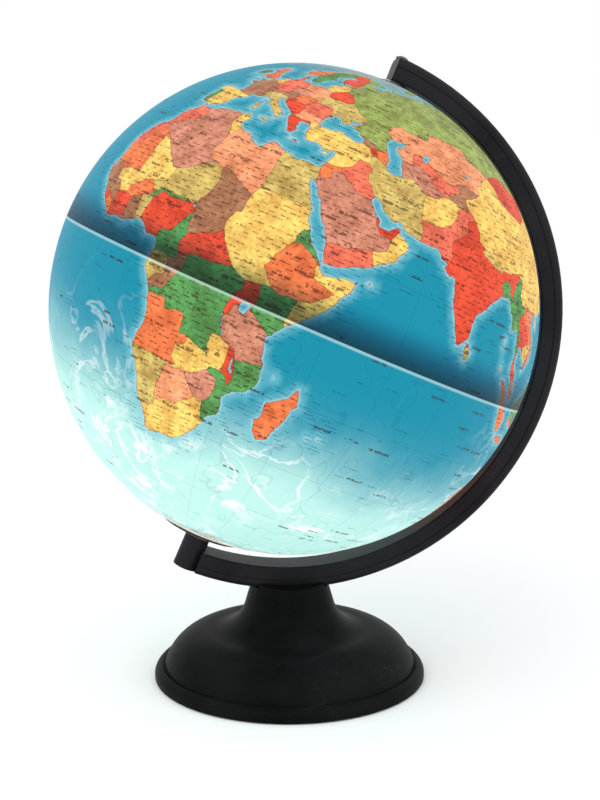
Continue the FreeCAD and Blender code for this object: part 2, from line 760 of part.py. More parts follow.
def ballast():
    ring = cut(cylinder(ballast_outer, ballast_thick, z=cover_top),
               cylinder(ballast_inner, ballast_thick, z=cover_top))
    spots = ballast_screw_spots()
    holes = [cylinder(screw_radius + screw_clearance, ballast_thick, x, y, cover_top) for x, y in spots]
    node("ballast_ring", cut(ring, *holes))
    length = ballast_thick + cover_wall - screw_end_gap / 2
    screws = [screw(length, x, y, cover_top + ballast_thick, up=False) for x, y in spots]
    node("ballast_screws", group(screws))


def cable_inlet():
    stem = inlet_bore + inlet_wall
    flange = stem + inlet_lip
    barb = flange - inlet_bevel
    grommet = lathe("cable_inlet", [
        (inlet_bore, -inlet_flange), (barb, -inlet_flange), (flange, 0), (stem, 0),
        (stem, boss_wall), (barb, boss_wall), (barb, boss_wall + inlet_barb),
        (inlet_bore, boss_wall + inlet_barb)])
    place(grommet, 0, inlet_face, inlet_height, X_AXIS, 90)
    node("cable_inlet", grommet)


def cord_clamp():
    y = clamp_y
    block = box(clamp_width, clamp_depth, inlet_height - cover_top, 0, y, cover_top)
    groove = along_y(inlet_bore, clamp_depth, 0, y, inlet_height)
    sides = [-clamp_screw_y, clamp_screw_y]
    pilots = [cylinder(screw_radius, inlet_height, x, y, cover_top) for x in sides]
    node("cord_clamp_base", cut(block, groove, *pilots))
    bar_low = inlet_height + clamp_gap
    bar_top = bar_low + inlet_bore + clamp_wall
    bar = box(clamp_width, clamp_depth, bar_top - bar_low, 0, y, bar_low)
    bar_groove = along_y(inlet_bore, clamp_depth, 0, y, bar_low)
    holes = [cylinder(screw_radius + screw_clearance, inlet_height, x, y, inlet_height) for x in sides]
    node("cord_clamp_bar", cut(bar, bar_groove, *holes))
    length = bar_top - cover_top - screw_end_gap
    node("cord_clamp_screws", group([screw(length, x, y, bar_top, up=False) for x in sides]))


def terminals():
    x = block_end - block_length / 2
    block = box(block_length, block_width, block_height, x, 0, cover_top)
    entry_z = cover_top + block_height / 2
    sides = [-block_pitch / 2, block_pitch / 2]
    ends = [-block_screw_spread / 2, block_screw_spread / 2]
    ways = [cylinder(block_way, block_length, x - block_length / 2, side, entry_z, Y_AXIS, 90)
            for side in sides]
    spots = [(x + end, side) for end in ends for side in sides]
    well_radius = block_screw_radius + running_gap
    wells = [cylinder(well_radius, block_height / 2, sx, sy, entry_z) for sx, sy in spots]
    node("terminal_block", cut(block, *ways, *wells))
    screw_top = cover_top + block_height - clamp_gap
    slot_depth = block_screw_height / 3
    heads = [cut(cylinder(block_screw_radius, block_screw_height, sx, sy, screw_top - block_screw_height),
                 box(block_screw_radius * 1.5, block_screw_radius / 3, slot_depth, sx, sy,
                     screw_top - slot_depth))
             for sx, sy in spots]
    node("terminal_screws", group(heads))


# ---- the lamp ----

def lamp_tube():
    tube_low = -(pole + tube_seat)
    tube_top = holder_bottom + tube_in_holder
    tube = lathe("lamp_tube", [
        (tube_bore, tube_low), (tube_radius, tube_low), (tube_radius, tube_top),
        (tube_bore, tube_top)])
    put_polar(node("lamp_tube", tube))
    hub_top = -pole + plate_thick + plate_hub_height
    prism = doc.addObject("Part::Prism", "nut_blank")
    prism.Polygon = 6
    bind(prism, "Circumradius", nut_radius)
    bind(prism, "Height", nut_height)
    place(prism, z=hub_top)
    put_polar(node("tube_nut", cut(prism, cylinder(tube_radius, nut_height, z=hub_top))))


def lampholder():
    low, top = holder_bottom, holder_top
    inside = holder_radius - holder_wall
    body = lathe("lampholder_body", [
        (tube_radius, low), (holder_radius - holder_bevel, low), (holder_radius, low + holder_bevel),
        (holder_radius, top), (inside, top), (inside, insert_bottom), (tube_radius, insert_bottom)])
    put_polar(node("lampholder_body", body))
    ring_low = top - holder_ring_drop
    ring_top = ring_low + holder_ring_height
    ring_out = holder_radius + holder_ring_width
    ring = lathe("lampholder_ring", [
        (holder_radius, ring_low), (ring_out, ring_low), (ring_out, ring_top), (holder_radius, ring_top)])
    put_polar(node("lampholder_ring", ring))
    contact_bore = cap_radius + snap_gap
    contact_out = contact_bore + contact_wall
    sleeve = contact_out + curve_gap
    insert_out = inside - curve_gap
    insert_top = top - insert_drop
    stem_bore = contact_stem + curve_gap
    floor_top = insert_bottom + insert_floor
    insert = lathe("lampholder_insert", [
        (stem_bore, insert_bottom), (insert_out, insert_bottom), (insert_out, insert_top),
        (sleeve, insert_top), (sleeve, floor_top), (stem_bore, floor_top)])
    put_polar(node("lampholder_insert", insert))
    contact_top = insert_top - screw_end_gap
    contact = lathe("threaded_contact", [
        (contact_bore, contact_low), (contact_out, contact_low), (contact_out, contact_top),
        (contact_bore, contact_top)])
    put_polar(node("threaded_contact", contact))
    stem_low = insert_bottom - screw_end_gap
    centre = lathe("centre_contact", [
        (0, stem_low), (contact_stem, stem_low), (contact_stem, contact_low), (contact_radius, contact_low),
        (contact_radius * 0.75, bulb_low), (0, bulb_low)])
    put_polar(node("centre_contact", centre))


def bulb():
    tip_top = bulb_low + tip_height
    cap_low = bulb_low + tip_length
    cap_top = cap_low + cap_length
    groove = cap_radius - cap_groove
    tip = lathe("bulb_tip", [
        (0, bulb_low), (tip_radius * 0.8, bulb_low), (tip_radius, tip_top), (0, tip_top)])
    put_polar(node("bulb_tip", tip))
    insulator = lathe("bulb_insulator", [
        (0, tip_top), (tip_radius, tip_top), (groove - curve_gap, cap_low), (0, cap_low)])
    put_polar(node("bulb_insulator", insulator))
    thread = []
    for turn in range(5):
        z = cap_low + screw_end_gap + turn * cap_pitch
        thread += [(groove, z), (cap_radius, z + cap_pitch / 2)]
    cap = lathe("bulb_cap", [(0, cap_low), (groove, cap_low)] + thread + [
        (groove, cap_top - screw_end_gap), (groove, cap_top), (0, cap_top)])
    put_polar(node("bulb_cap", cap))
    neck = groove - curve_gap
    mouth = neck + bulb_flare
    top = cap_top + bulb_length
    middle = top - bulb_radius
    inner = bulb_radius - glass_wall
    inner_neck = neck - glass_wall
    inner_mouth = mouth - glass_wall
    glass = lathe("bulb_glass", [
        (inner_neck, cap_top), (neck, cap_top), (mouth, middle - leg(bulb_radius, mouth), bulb_radius),
        (bulb_radius, middle, bulb_radius), (0, top), (0, top - glass_wall, -inner),
        (inner, middle, -inner), (inner_mouth, middle - leg(inner, inner_mouth))])
    put_polar(node("bulb_glass", glass))
    stem_top = middle - filament_rise
    stem = lathe("filament_stem", [
        (0, cap_top), (inner_neck - clamp_gap, cap_top), (stem_radius, cap_top + stem_foot),
        (stem_radius, stem_top), (0, stem_top)])
    put_polar(node("filament_stem", stem))
    wire_length = filament_rise + wire_radius
    wires = [cylinder(wire_radius, wire_length, x=side * stem_radius * 0.75, z=stem_top) for side in (-1, 1)]
    coil = cylinder(wire_radius * 1.5, filament_width, x=-filament_width / 2, z=stem_top + wire_length,
                    axis=Y_AXIS, angle=90)
    put_polar(node("filament", fuse(coil, *wires)))


def polar_point(x, z):
    """A point of the polar frame's XZ plane, in the main frame."""
    turn = FreeCAD.Rotation(Y_AXIS, num(tilt))
    return turn.multVec(FreeCAD.Vector(x, 0, z)) + FreeCAD.Vector(num(globe_offset), 0, num(globe_height))


def lamp_lead():
    """The lead inside the stand, in straight runs and tangent arcs: base, neck, arm channel, lamp tube."""
    centre = FreeCAD.Vector(num(arm_x), 0, num(arm_z))
    ring, bend, base_bend = num(lead_circle), num(lead_neck_bend), num(lead_base_bend)
    climb_x = num(lead_x)
    low_z = num(cover_top + lead_rise)
    turn_x = climb_x - bend
    turn_z = centre.z - math.sqrt((ring + bend) ** 2 - (turn_x - centre.x) ** 2)
    turn = FreeCAD.Vector(turn_x, 0, turn_z)
    start = FreeCAD.Vector(climb_x + base_bend - num(curve_gap), 0, low_z)
    corner = FreeCAD.Vector(climb_x + base_bend, 0, low_z + base_bend)
    climb_low = FreeCAD.Vector(climb_x, 0, low_z + base_bend)
    climb_top = FreeCAD.Vector(climb_x, 0, turn_z)
    joins = turn + (centre - turn).normalize() * bend
    pole_bend = num(lead_pole_bend)
    drop = num(arm_drop)
    pole_x = pole_bend
    pole_z = -drop - math.sqrt((ring - pole_bend) ** 2 - pole_bend ** 2)
    pole_centre = polar_point(pole_x, pole_z)
    leaves = centre + (pole_centre - centre).normalize() * ring
    on_axis = polar_point(0, pole_z)
    end = polar_point(0, num(holder_bottom + tube_in_holder / 2))
    wire = Part.Wire([
        quarter(start, climb_low, corner, base_bend),
        Part.LineSegment(climb_low, climb_top).toShape(),
        quarter(climb_top, joins, turn, bend),
        quarter(joins, leaves, centre, ring),
        quarter(leaves, on_axis, pole_centre, pole_bend),
        Part.LineSegment(on_axis, end).toShape()])
    profile = Part.Wire([Part.Circle(end, polar_point(0, 1) - polar_point(0, 0), num(lead_radius)).toShape()])
    solid = Part.Wire(list(reversed(wire.Edges))).makePipeShell([profile], True, False)
    lead = doc.addObject("Part::Feature", "lamp_lead")
    lead.Shape = solid
    node("lamp_lead", lead)


def quarter(start, end, centre, radius):
    """The short arc from start to end about a centre."""
    middle = (start + end) * 0.5 - centre
    return Part.Arc(start, centre + middle.normalize() * radius, end).toShape()


def build():
    hemispheres()
    joint_ring()
    north_bearing()
    south_bearing()
    arm()
    cover_strip()
    arm_fasteners()
    base_shell()
    base_bottom()
    ballast()
    cable_inlet()
    cord_clamp()
    terminals()
    lamp_tube()
    lampholder()
    bulb()
    lamp_lead()
    doc.recompute()


def check():
    for obj in doc.Objects:
        if {"Invalid", "Error"} & set(obj.State):
            raise RuntimeError(f"{obj.Label} did not build: {obj.State}")
    for obj in NODES:
        if obj.Shape.isNull() or not obj.Shape.isValid() or not obj.Shape.Solids:
            raise RuntimeError(f"{obj.Label} has no valid solid")


def write():
    os.makedirs("parts", exist_ok=True)
    for obj in NODES:
        obj.Shape.exportStep(f"parts/{obj.Label}.step")
        box_ = obj.Shape.BoundBox
        print(f"{obj.Label:20s} {len(obj.Shape.Solids)} solids {obj.Shape.Volume:11.1f} mm3  "
              f"x {box_.XMin:.1f}..{box_.XMax:.1f} z {box_.ZMin:.1f}..{box_.ZMax:.1f}")


build()
check()
write()
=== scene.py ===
import json
import math
from functools import partialmethod

import bmesh
import bpy
import numpy as np
from mathutils import Euler, Matrix, Vector


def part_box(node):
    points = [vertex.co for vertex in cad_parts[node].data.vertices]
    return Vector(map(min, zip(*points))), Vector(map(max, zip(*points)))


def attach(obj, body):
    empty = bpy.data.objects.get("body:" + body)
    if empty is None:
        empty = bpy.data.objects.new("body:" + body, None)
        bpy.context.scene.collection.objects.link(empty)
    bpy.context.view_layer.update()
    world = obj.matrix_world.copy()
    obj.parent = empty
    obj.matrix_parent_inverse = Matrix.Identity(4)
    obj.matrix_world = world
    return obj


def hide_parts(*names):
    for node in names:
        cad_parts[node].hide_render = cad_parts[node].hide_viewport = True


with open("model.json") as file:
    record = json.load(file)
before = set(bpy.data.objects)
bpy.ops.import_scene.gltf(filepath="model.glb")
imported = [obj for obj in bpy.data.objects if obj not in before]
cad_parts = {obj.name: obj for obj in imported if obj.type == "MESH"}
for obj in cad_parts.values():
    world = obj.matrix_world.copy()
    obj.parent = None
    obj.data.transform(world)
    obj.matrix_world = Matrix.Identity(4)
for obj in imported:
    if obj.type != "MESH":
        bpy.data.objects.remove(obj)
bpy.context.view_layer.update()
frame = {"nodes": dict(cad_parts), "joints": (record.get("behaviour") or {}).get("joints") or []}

bl_info = {
    "name": "Desktop Globe Looks",
    "version": (1, 0, 0),
    "blender": (4, 5, 0),
    "location": "3D View > Sidebar > Globe",
    "description": "Printed map ball, curved arm and round base of a desktop globe, and their finishes",
    "category": "Object",
}

SPIN = frame["joints"][0]
BALL_CENTRE = Vector(SPIN["pos_m"])
POLE_AXIS = Vector(SPIN["axis"]).normalized()
TILT = math.atan2(POLE_AXIS.x, POLE_AXIS.z)
BALL_TURN = Matrix.Translation(BALL_CENTRE) @ Euler((0, TILT, 0)).to_matrix().to_4x4()
BALL_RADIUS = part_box("north_hemisphere")[1].y
BUSH_RADIUS = 0.0062         # the north bush fills the hole at its pole
COLLAR_BEAD = 0.0014         # how far the south collar's bead stands out past its hole
INSIDE_STEPS = 7             # the wall's inside has this many times fewer rings of faces
WELD = 0.000001
SMOOTH_BALL = math.radians(35)
SMOOTH_FLOOR = math.radians(30)

# Degrees from an outline within which the map needs true distances.
LAND_REACH = 3.0
COAST_REACH = 6.0
ICE_LEAD = 1.5               # degrees by which ice wins over the other lands

# Middle and reach of each disc of the flat layout, as shares of its square.
OUTSIDE_DISC = (0.5, 0.485)
INSIDE_DISC = (0.07, 0.06)


def srgb(red, green, blue):
    """A display colour from 0 to 255 as a linear colour."""
    def linear(part):
        part /= 255
        return part / 12.92 if part <= 0.04045 else ((part + 0.055) / 1.055) ** 2.4
    return linear(red), linear(green), linear(blue)


# ---- sizes and colours that a user would change ----

def colour(name, text, value):
    """A colour that the panel shows."""
    return bpy.props.FloatVectorProperty(name=name, description=text, subtype="COLOR", size=3,
                                         min=0, max=1, default=value)


def length(name, text, value):
    """A length that the panel shows, in metres."""
    return bpy.props.FloatProperty(name=name, description=text, unit="LENGTH", default=value)


def number(name, text, value):
    """A plain number that the panel shows."""
    return bpy.props.FloatProperty(name=name, description=text, default=value)


class MapSettings(bpy.types.PropertyGroup):
    prime: number("Turn of the map", "Longitude at the back of the arm, in degrees", 139.8)
    around: bpy.props.IntProperty(name="Steps around", description="Faces round the equator", default=540)
    wall: length("Ball wall", "Thickness of the ball's plastic", 0.0018)
    seam: length("Seam", "Half the gap between the two halves", 0.0001)
    red: colour("Red", "Tomato red lands", srgb(238, 84, 58))
    coral: colour("Coral", "Coral lands", srgb(248, 124, 100))
    peach: colour("Peach", "Pale orange lands", srgb(252, 166, 124))
    orange: colour("Orange", "Orange lands", srgb(248, 132, 82))
    yellow: colour("Yellow", "Yellow lands", srgb(254, 214, 116))
    green: colour("Green", "Green lands", srgb(92, 160, 92))
    lime: colour("Lime", "Yellow-green lands", srgb(158, 180, 98))
    olive: colour("Olive", "Olive lands", srgb(214, 190, 112))
    mauve: colour("Mauve", "Mauve lands", srgb(214, 144, 122))
    brown: colour("Brown", "Brown lands", srgb(182, 128, 98))
    ice: colour("Ice", "Land under ice", srgb(222, 232, 228))
    shelf: colour("Shelf", "Shallow water at the coasts", srgb(120, 196, 208))
    warm_sea: colour("Warm sea", "Open water near the equator", srgb(14, 142, 168))
    cold_sea: colour("Cold sea", "Open water in the far south", srgb(186, 234, 226))
    # Arctic greys the water near the north pole: painted shade for the lamp's weaker light at the top of the
    # ball.
    arctic: colour("Arctic", "Water and haze near the north pole", srgb(168, 184, 178))
    ink: colour("Ink", "Place marks, borders and the grid", srgb(52, 30, 24))
    lamp: number("Lamp", "Share of the map's colour that comes from the lamp inside", 0.80)
    room: number("Room", "Share of the map's colour that answers to the room's light", 0.24)


class StandSettings(bpy.types.PropertyGroup):
    arm: colour("Arm", "Plastic of the curved arm", srgb(23, 22, 26))
    base: colour("Base", "Plastic of the base", srgb(8, 9, 9))
    grain: length("Grain", "Size of the mould grain on the base", 0.0006)


class StageSettings(bpy.types.PropertyGroup):
    camera_at: bpy.props.FloatVectorProperty(name="Camera", description="Where the camera stands",
                                             unit="LENGTH", size=3, default=(-0.0846, -0.7942, 0.2997))
    camera_way: bpy.props.FloatVectorProperty(name="View", description="The way the camera looks",
                                              size=3, default=(0.1130, 0.9822, -0.1502))
    lens: bpy.props.FloatProperty(name="Lens", description="Focal length in millimetres", default=57.9)
    backdrop: colour("Backdrop", "Floor and wall of the stage", (0.97, 0.97, 0.97))
    key_power: number("Key light", "Power of the large soft light", 11.0)
    sky: number("Sky", "Strength of the even light all round", 1.02)


# ---- the map: outlines as longitude and latitude in degrees, a slash between one and the next ----

COASTS = {
    "africa": """
    -5.9 35.8 -2 35.1 1 36.5 5 36.8 9.8 37.3 11 37 10.3 34.3 11.1 33.2 15.2 32.3 16 31.2 18.2 30.5
    20.1 31 20.1 32.4 21.8 32.9 23.1 32.5 25 31.6 29 30.9 31 31.5 32.4 31.2 33 30 32.6 29.9 33.6 27.8
    34.6 25.7 35.6 23.9 36.9 22 37.2 19.7 38.5 18 39.6 15.4 41.2 14.5 43 12.6 43.3 11.5 44.5 10.4 47 11.1
    51.2 11.8 50.8 9.4 49 6.8 47.9 4.4 45.5 2 43 -.3 41.5 -1.8 40.1 -3.3 39.2 -4.7 38.8 -6.2 39.5 -7
    39.6 -8.9 40.6 -10.6 40.8 -14.7 39.2 -16.8 36.8 -17.9 34.8 -19.8 35.5 -21.9 35.5 -23.8 32.9 -25.3
    32.8 -27 31 -29.9 28.5 -32.6 25.7 -33.9 22.5 -34.1 20 -34.8 18.4 -34.2 18.2 -32 17 -29.5 15.2 -26.8
    14.5 -22.9 13 -20.2 11.8 -17.5 12.2 -15.5 13.6 -12.3 13.1 -9 12.3 -6.1 11.1 -4 9.3 -1.6 9.5 .8
    9.7 3.1 9 4.4 8.3 4.5 6 4.3 4.6 6 2.3 6.3 -.5 5.4 -2.1 4.7 -4 5.2 -7.5 4.4 -9.3 5.4 -11.5 6.9
    -13.2 8.6 -13.8 9.8 -15 10.9 -16.7 12.4 -17.4 14.7 -16.5 16.2 -16.3 19.2 -17 21 -16 23.7 -14.5 26.2
    -13 27.8 -11.2 28.3 -9.7 29.8 -9.7 31.4 -8.5 33.3 -6.8 34.1""",
    "madagascar": """
    49.3 -12 50.4 -15.6 49.6 -16.2 49.3 -18.3 47.1 -24.9 45.2 -25.6 43.7 -23.5 43.4 -21.5 44.4 -19.8
    44.1 -17 46.2 -15.8 47.9 -14.5 48.8 -12.7""",
    "eurasia": """
    32.2 31.2 34.2 31.3 35 32.8 35.9 35 36.1 36.7 34 36.3 32.3 36.1 30.6 36.8 29 36.3 27.4 36.8 26.3 38.3
    26.8 39.4 26.1 40 26.5 40.6 24 40.8 22.7 40.4 23.5 39.2 22.9 38.9 24 38 23.2 37.4 23 36.5 21.7 36.8
    21.2 38 20.2 39.4 19.4 41 19.3 42 16.5 43.5 14 45.1 13.6 45.7 12.4 45.2 12.4 44.2 13.6 43.5 14.5 42.3
    16.1 41.8 18.4 40.1 17 40.5 16.9 39.2 16 38 15.7 38.2 16 39.5 15 40.2 13.2 41.2 11.2 42.4 10.2 43.9
    8.8 44.4 7.4 43.7 5 43.4 3.1 43.1 3.2 41.9 .8 41 -.3 39.5 -.5 38.3 -2 36.8 -4.5 36.7 -5.6 36.1
    -6.4 36.9 -8.9 37 -9.4 38.7 -8.8 41.2 -9.2 43.1 -7.9 43.7 -4 43.5 -1.7 43.4 -1.2 45.5 -2.4 47.3
    -4.6 48.2 -1.6 48.7 -1.8 49.7 .2 49.6 1.6 50.6 4 51.8 4.8 53 7 53.5 8.7 53.9 8.2 56.7 10.6 57.6
    10.2 55.8 10 54.5 12.5 54.4 14.3 53.9 18.6 54.7 20 54.6 21 55.5 21.2 57 22.6 57.7 24.3 57.2 23.6 59.2
    28 59.6 29.8 60 25 60.2 22.9 59.9 21.4 61 21.5 63 25.3 65 22.2 65.7 17.4 62 18.9 60.1 16.8 58.7
    16.2 56.6 14.3 55.5 12.8 55.5 11.3 59 10.4 59.2 8 58.1 5.4 59 5.1 61.8 10 63.9 14 67.2 19 69.8
    25.7 71 31 70.3 33.5 69.4 41 67.1 38 66.2 33 66.7 35 64.2 37.9 63.9 40.5 64.7 40 66 44 66.1 44.2 68.2
    47.5 67 54 68.4 60.5 69.8 66.9 69.2 66.8 71 68.5 72.7 72.8 72.7 72 70.5 73.8 66.9 74.5 68.5 74 72.5
    80.5 73.6 87 75 98 76.2 104.3 77.7 112 76.3 107 73.5 113.5 73.6 119 73 127 73.5 129.5 71.2 133 71.7
    139.8 72.3 150 71.4 160 69.7 170.5 69.9 178 69.3 190 66.1 184 64.8 178 62.5 172 60.8 164 59.8
    162.5 57.8 163 55.8 160 53 156.7 51 155.7 54.5 156.7 57.5 163 61.8 157 61.5 151 59.2 142 59.2
    135.3 54.8 140.5 53.5 140.3 48.6 135.4 43.9 131.9 43 129.7 41.8 127.5 39.8 129.4 37 129.1 35.2
    126.4 34.4 126.6 37.4 124.8 39.8 121.4 39.2 121.8 40.9 117.8 39 119 37.3 122.5 37.2 119.3 35
    121.8 31.7 121.8 29 119.6 25.8 116.7 23.2 113.5 22.2 110.5 21.2 108.3 21.6 105.8 19 108.9 15.4
    109.3 12.2 106.7 9.8 104.8 8.7 105 10.3 102.5 12 100.9 13.4 100 13.2 99.3 10 100.3 8.3 102.2 6.2
    103.4 4.3 104.1 1.4 103.4 1.3 101.3 2.9 100.3 5.6 98.4 8 98.7 11 97.7 15.5 97.2 16.9 95.3 15.8
    94.3 16.2 94.4 18.5 92.3 20.7 91.8 22.4 90.5 22.2 88.2 21.7 86.9 20.7 85.2 19.6 82.3 16.7 80.3 15.5
    80.2 13 79.8 10.4 78.2 8.9 77.5 8.1 76.3 10 74.8 13 73.3 16.8 72.8 19.3 72.7 21.3 70.9 20.7 69 22.2
    70.3 22.9 68 23.6 66.6 25.2 61.6 25.1 57.3 25.7 56.8 27.1 54.5 26.6 51.5 27.9 50 30.1 48.8 30.3
    48 29.5 48.7 28 50.2 26.5 50.8 25 51.2 26.1 51.6 25 51.5 24.3 54 24.2 56.3 26.2 56.4 24.8 58.7 23.6
    59.8 22.5 57.8 20.3 57.7 18.9 55.2 17.4 52.2 15.6 48.7 14 45 12.8 43.5 12.7 42.7 15.7 42.5 16.9
    40.8 19.8 39 21.7 38.4 23.6 36.5 26 34.9 28.1 34.9 29.5 34.3 27.8 32.6 29.9""",
    "britain": """
    -5.5 50.1 1.3 51.2 1.7 52.7 .2 53.5 -1.6 55.6 -2 57.5 -3.1 58.6 -5 58.6 -6.2 56.7 -4.9 54.8 -3.1 53.4
    -4.7 52.6 -5 51.8 -3 51.3""",
    "ireland": "-10 51.7 -6.3 52.2 -5.6 54.6 -8.2 55.2 -9.9 54",
    "iceland": "-22.6 63.9 -18.7 63.4 -13.6 65 -16 66.5 -22.5 66.4 -24 65.5",
    "svalbard": "11 79.5 16 76.6 22 78.5 25 80 16 80",
    "novaya": "51.5 71.5 57 70.6 60 72.5 68 76.5 60 76 55 73.5",
    "severnaya": "96 79 103 79 100 81 94 80.5", "sicily": "12.5 37.8 15.1 36.7 15.6 38.2",
    "sardinia": "8.3 39 9.6 39.2 9.5 41.1 8.3 41", "corsica": "8.6 41.5 9.4 41.8 9.4 43 8.5 42.4",
    "crete": "23.5 35.2 26.3 35 24.9 35.6", "cyprus": "32.3 34.7 34 34.9 34.6 35.7 33 35.3",
    "socotra": "53.3 12.3 54.5 12.5 53.8 12.8", "ceylon": "79.8 8 80.2 9.8 81.8 7.5 81.2 6.2 80.1 6",
    "reunion": "55.2 -21 55.8 -20.9 55.5 -21.5", "mauritius": "57.3 -20 57.8 -20.2 57.5 -20.6",
    "comoro": "43.2 -11.4 43.6 -11.8 43.3 -12", "andaman": "92.7 11.6 93.1 13.5 92.8 13.5",
    "nicobar": "93.6 6.8 94 7.2 93.8 8.2",
    "sumatra": """
    95.3 5.5 97.5 5.2 100.4 2.2 103.6 -1 106 -3.1 105.8 -5.8 104.5 -5.8 102.3 -4 100.4 -1 98.7 1.8""",
    "java": "105.3 -6.8 108.5 -6.7 112.6 -6.9 114.5 -7.8 114.4 -8.7 108 -7.8",
    "borneo": """
    109 1.5 111.3 2.5 113 3.2 116.7 7 119 5.2 117.7 2.5 118.8 1 117.5 -.8 116.3 -4 114.5 -4.1 110.2 -2.9
    109.1 -.3""",
    "celebes": """
    119.5 -5.5 120.4 -5.5 120.5 -2.8 122.5 -5 123 -4 121.6 -1 124.9 1.6 123 .9 120.2 1 119.8 -.5
    118.9 -2.8""",
    "papua": """
    131 -.8 134.1 -.8 135 -3.3 137.8 -1.5 141 -2.6 145.8 -5 147.9 -6.7 150.7 -10.5 147 -9.6 144 -7.6
    141 -9.1 138 -8.4 138.2 -5.5 133.7 -4 132 -2.8""",
    "timor": "123.5 -10.3 127 -8.4 124.5 -9.2", "flores": "117 -8.3 123 -8.3 120 -9",
    "luzon": "120.5 18.5 122.2 18.4 121.6 15.5 124 13 120.7 13.8 119.9 16.2",
    "mindanao": "122 7 125.4 5.8 126.5 7.5 125.5 9.8 123.4 8.6",
    "formosa": "120.1 23 120.8 22 121.9 25.1 121 25", "hainan": "108.7 19.2 110.5 18.6 111 20 109.5 20",
    "honshu": """
    130.2 31.3 131.9 33 135.7 33.5 138.8 34.7 140.9 35.7 141.9 39.5 141.3 41.3 139.9 39.8 137.3 37
    133 35.6 130.9 34.3 129.7 33""",
    "hokkaido": "140.1 41.5 143.2 42 145.5 43.3 141.9 45.4 141.2 43.2",
    "sakhalin": "142 46 143.5 46.5 142.7 49 144 49.3 142.7 54.3 142 53",
    "australia": """
    113.7 -22.6 114 -26 115.7 -31.6 115 -34.2 118 -35 123.5 -33.9 129 -31.7 134 -32.8 135.6 -34.9
    137.8 -32.6 138.2 -35.6 140.5 -38 143.6 -38.8 146.3 -39 149.9 -37.5 151.3 -33.6 153.5 -28.5 153 -25.2
    149.5 -22.3 146.3 -19 145.3 -15 142.5 -10.9 141.6 -13 140.9 -17.5 139 -17.4 135.6 -15 136.8 -12.2
    132.6 -11.4 129.5 -14.9 126 -14 122.2 -18.1 117 -20.7""",
    "tasmania": "144.7 -40.8 148.2 -40.9 147 -43.5",
    "north_island": "173 -34.6 175.5 -36.8 178.4 -37.7 176.9 -39.6 175.3 -41.5 173.8 -39.3 174.8 -37.5",
    "south_island": "172.8 -40.6 174.2 -41.4 171.2 -44 170.7 -45.9 168.5 -46.6 166.6 -45.9 170.5 -43",
    "north_america": """
    -168 65.7 -162 66.3 -166.5 68.3 -156.5 71.3 -141 69.7 -128 70 -115 68.2 -108 68 -95 68.5 -94 72
    -86 69.5 -81.5 69 -81.5 67.5 -86.5 66 -93.5 62 -94.5 58.8 -92.5 57 -85 55.2 -82.3 52.8 -79.5 51.3
    -78.8 54.5 -77 56.5 -78 60 -77.5 62.4 -72 61.5 -69.5 59 -67.5 58.5 -65 60.3 -61.5 56 -56 52.4
    -60 50.2 -66.5 50.2 -70 47 -65 49.1 -64.8 46.5 -61 45.5 -66 43.6 -70 43.6 -70.6 41.8 -74 40.6 -76 37
    -75.8 35.2 -79 33 -81.4 31 -80.1 26.8 -81.1 25.2 -82.8 28 -84.2 30 -89.5 30.2 -91 29.2 -94.8 29.3
    -97.3 27.3 -97.7 22.5 -96 19.2 -94.4 18.2 -91 18.7 -90.4 21 -87 21.5 -88.2 17.5 -88.5 15.8 -83.3 15
    -83.7 11 -81.5 8.9 -79.5 9.5 -77.3 8.6 -78.3 7.6 -80 8.4 -80.5 7.4 -83 8.3 -85.8 10.2 -87.6 12.9
    -91.5 14 -94.5 16.2 -100 16.8 -105.5 20.3 -105.8 22.5 -109.4 25.8 -112.8 30 -114.7 31.7 -114.5 30
    -111 26 -109.5 23.1 -112.1 25 -115 28 -116.7 31.5 -120.6 34.5 -124.2 40.2 -124.1 46.3 -123 49
    -127.5 50.9 -130.3 54.7 -135 58.5 -139.7 59.6 -147 60.9 -151.5 59.3 -154 58.7 -158.5 56 -164 54.7
    -157.7 58.6 -162 58.7 -165 61.5 -161 64.4 -165.5 64.5""",
    "baffin": "-80 73.7 -71 71 -62 66.5 -65 62 -72 64.5 -73 68 -89 70.5",
    "victoria": "-117 69 -105 69 -105 72.8 -117 73", "ellesmere": "-62 82.5 -90 81 -80 76.3",
    "banks": "-125 72 -118 75 -124 74", "parry": "-110 75 -97 75 -95 77 -112 77",
    "newfoundland": "-59.3 47.8 -53 46.7 -53.2 48.8 -55.9 51.5",
    "greenland": """
    -45 60 -53.5 66 -54 70 -60 76 -73 78.4 -60 82 -32 83.5 -12 81.5 -19 77 -22 71.5 -32 68 -40 65""",
    "cuba": "-85 21.9 -80 23.1 -74.2 20.2 -77.6 19.8",
    "hispaniola": "-74.4 18.5 -73 19.9 -68.4 18.6 -71 18",
    "south_america": """
    -77.3 8.6 -75.4 10.8 -71.6 12.4 -71.5 10.8 -67 10.6 -62 10.6 -60 8.5 -57 6 -51.5 4.3 -50 1.5 -48 -.7
    -44.5 -2.6 -40 -2.9 -35.3 -5.2 -34.9 -8.3 -37 -11.5 -39 -13.5 -39.2 -18 -41 -22 -45 -23.5 -48.5 -26
    -48.8 -28.6 -53.5 -33.8 -57 -36.3 -57.8 -38.2 -62.2 -39 -65 -41 -65.2 -45 -67.5 -46.2 -65.8 -47.5
    -69 -51 -68.3 -52.4 -65.3 -54.8 -69 -55.6 -74.5 -51.5 -75.5 -47 -73 -41.8 -73.6 -37.3 -71.5 -33
    -70.5 -25.3 -70.2 -18.4 -76.2 -14 -79.5 -7.5 -81.3 -4.5 -80.3 -3.3 -80.9 -1.5 -80 .8 -77.4 3.9
    -77.7 6.7 -78.3 7.8""",
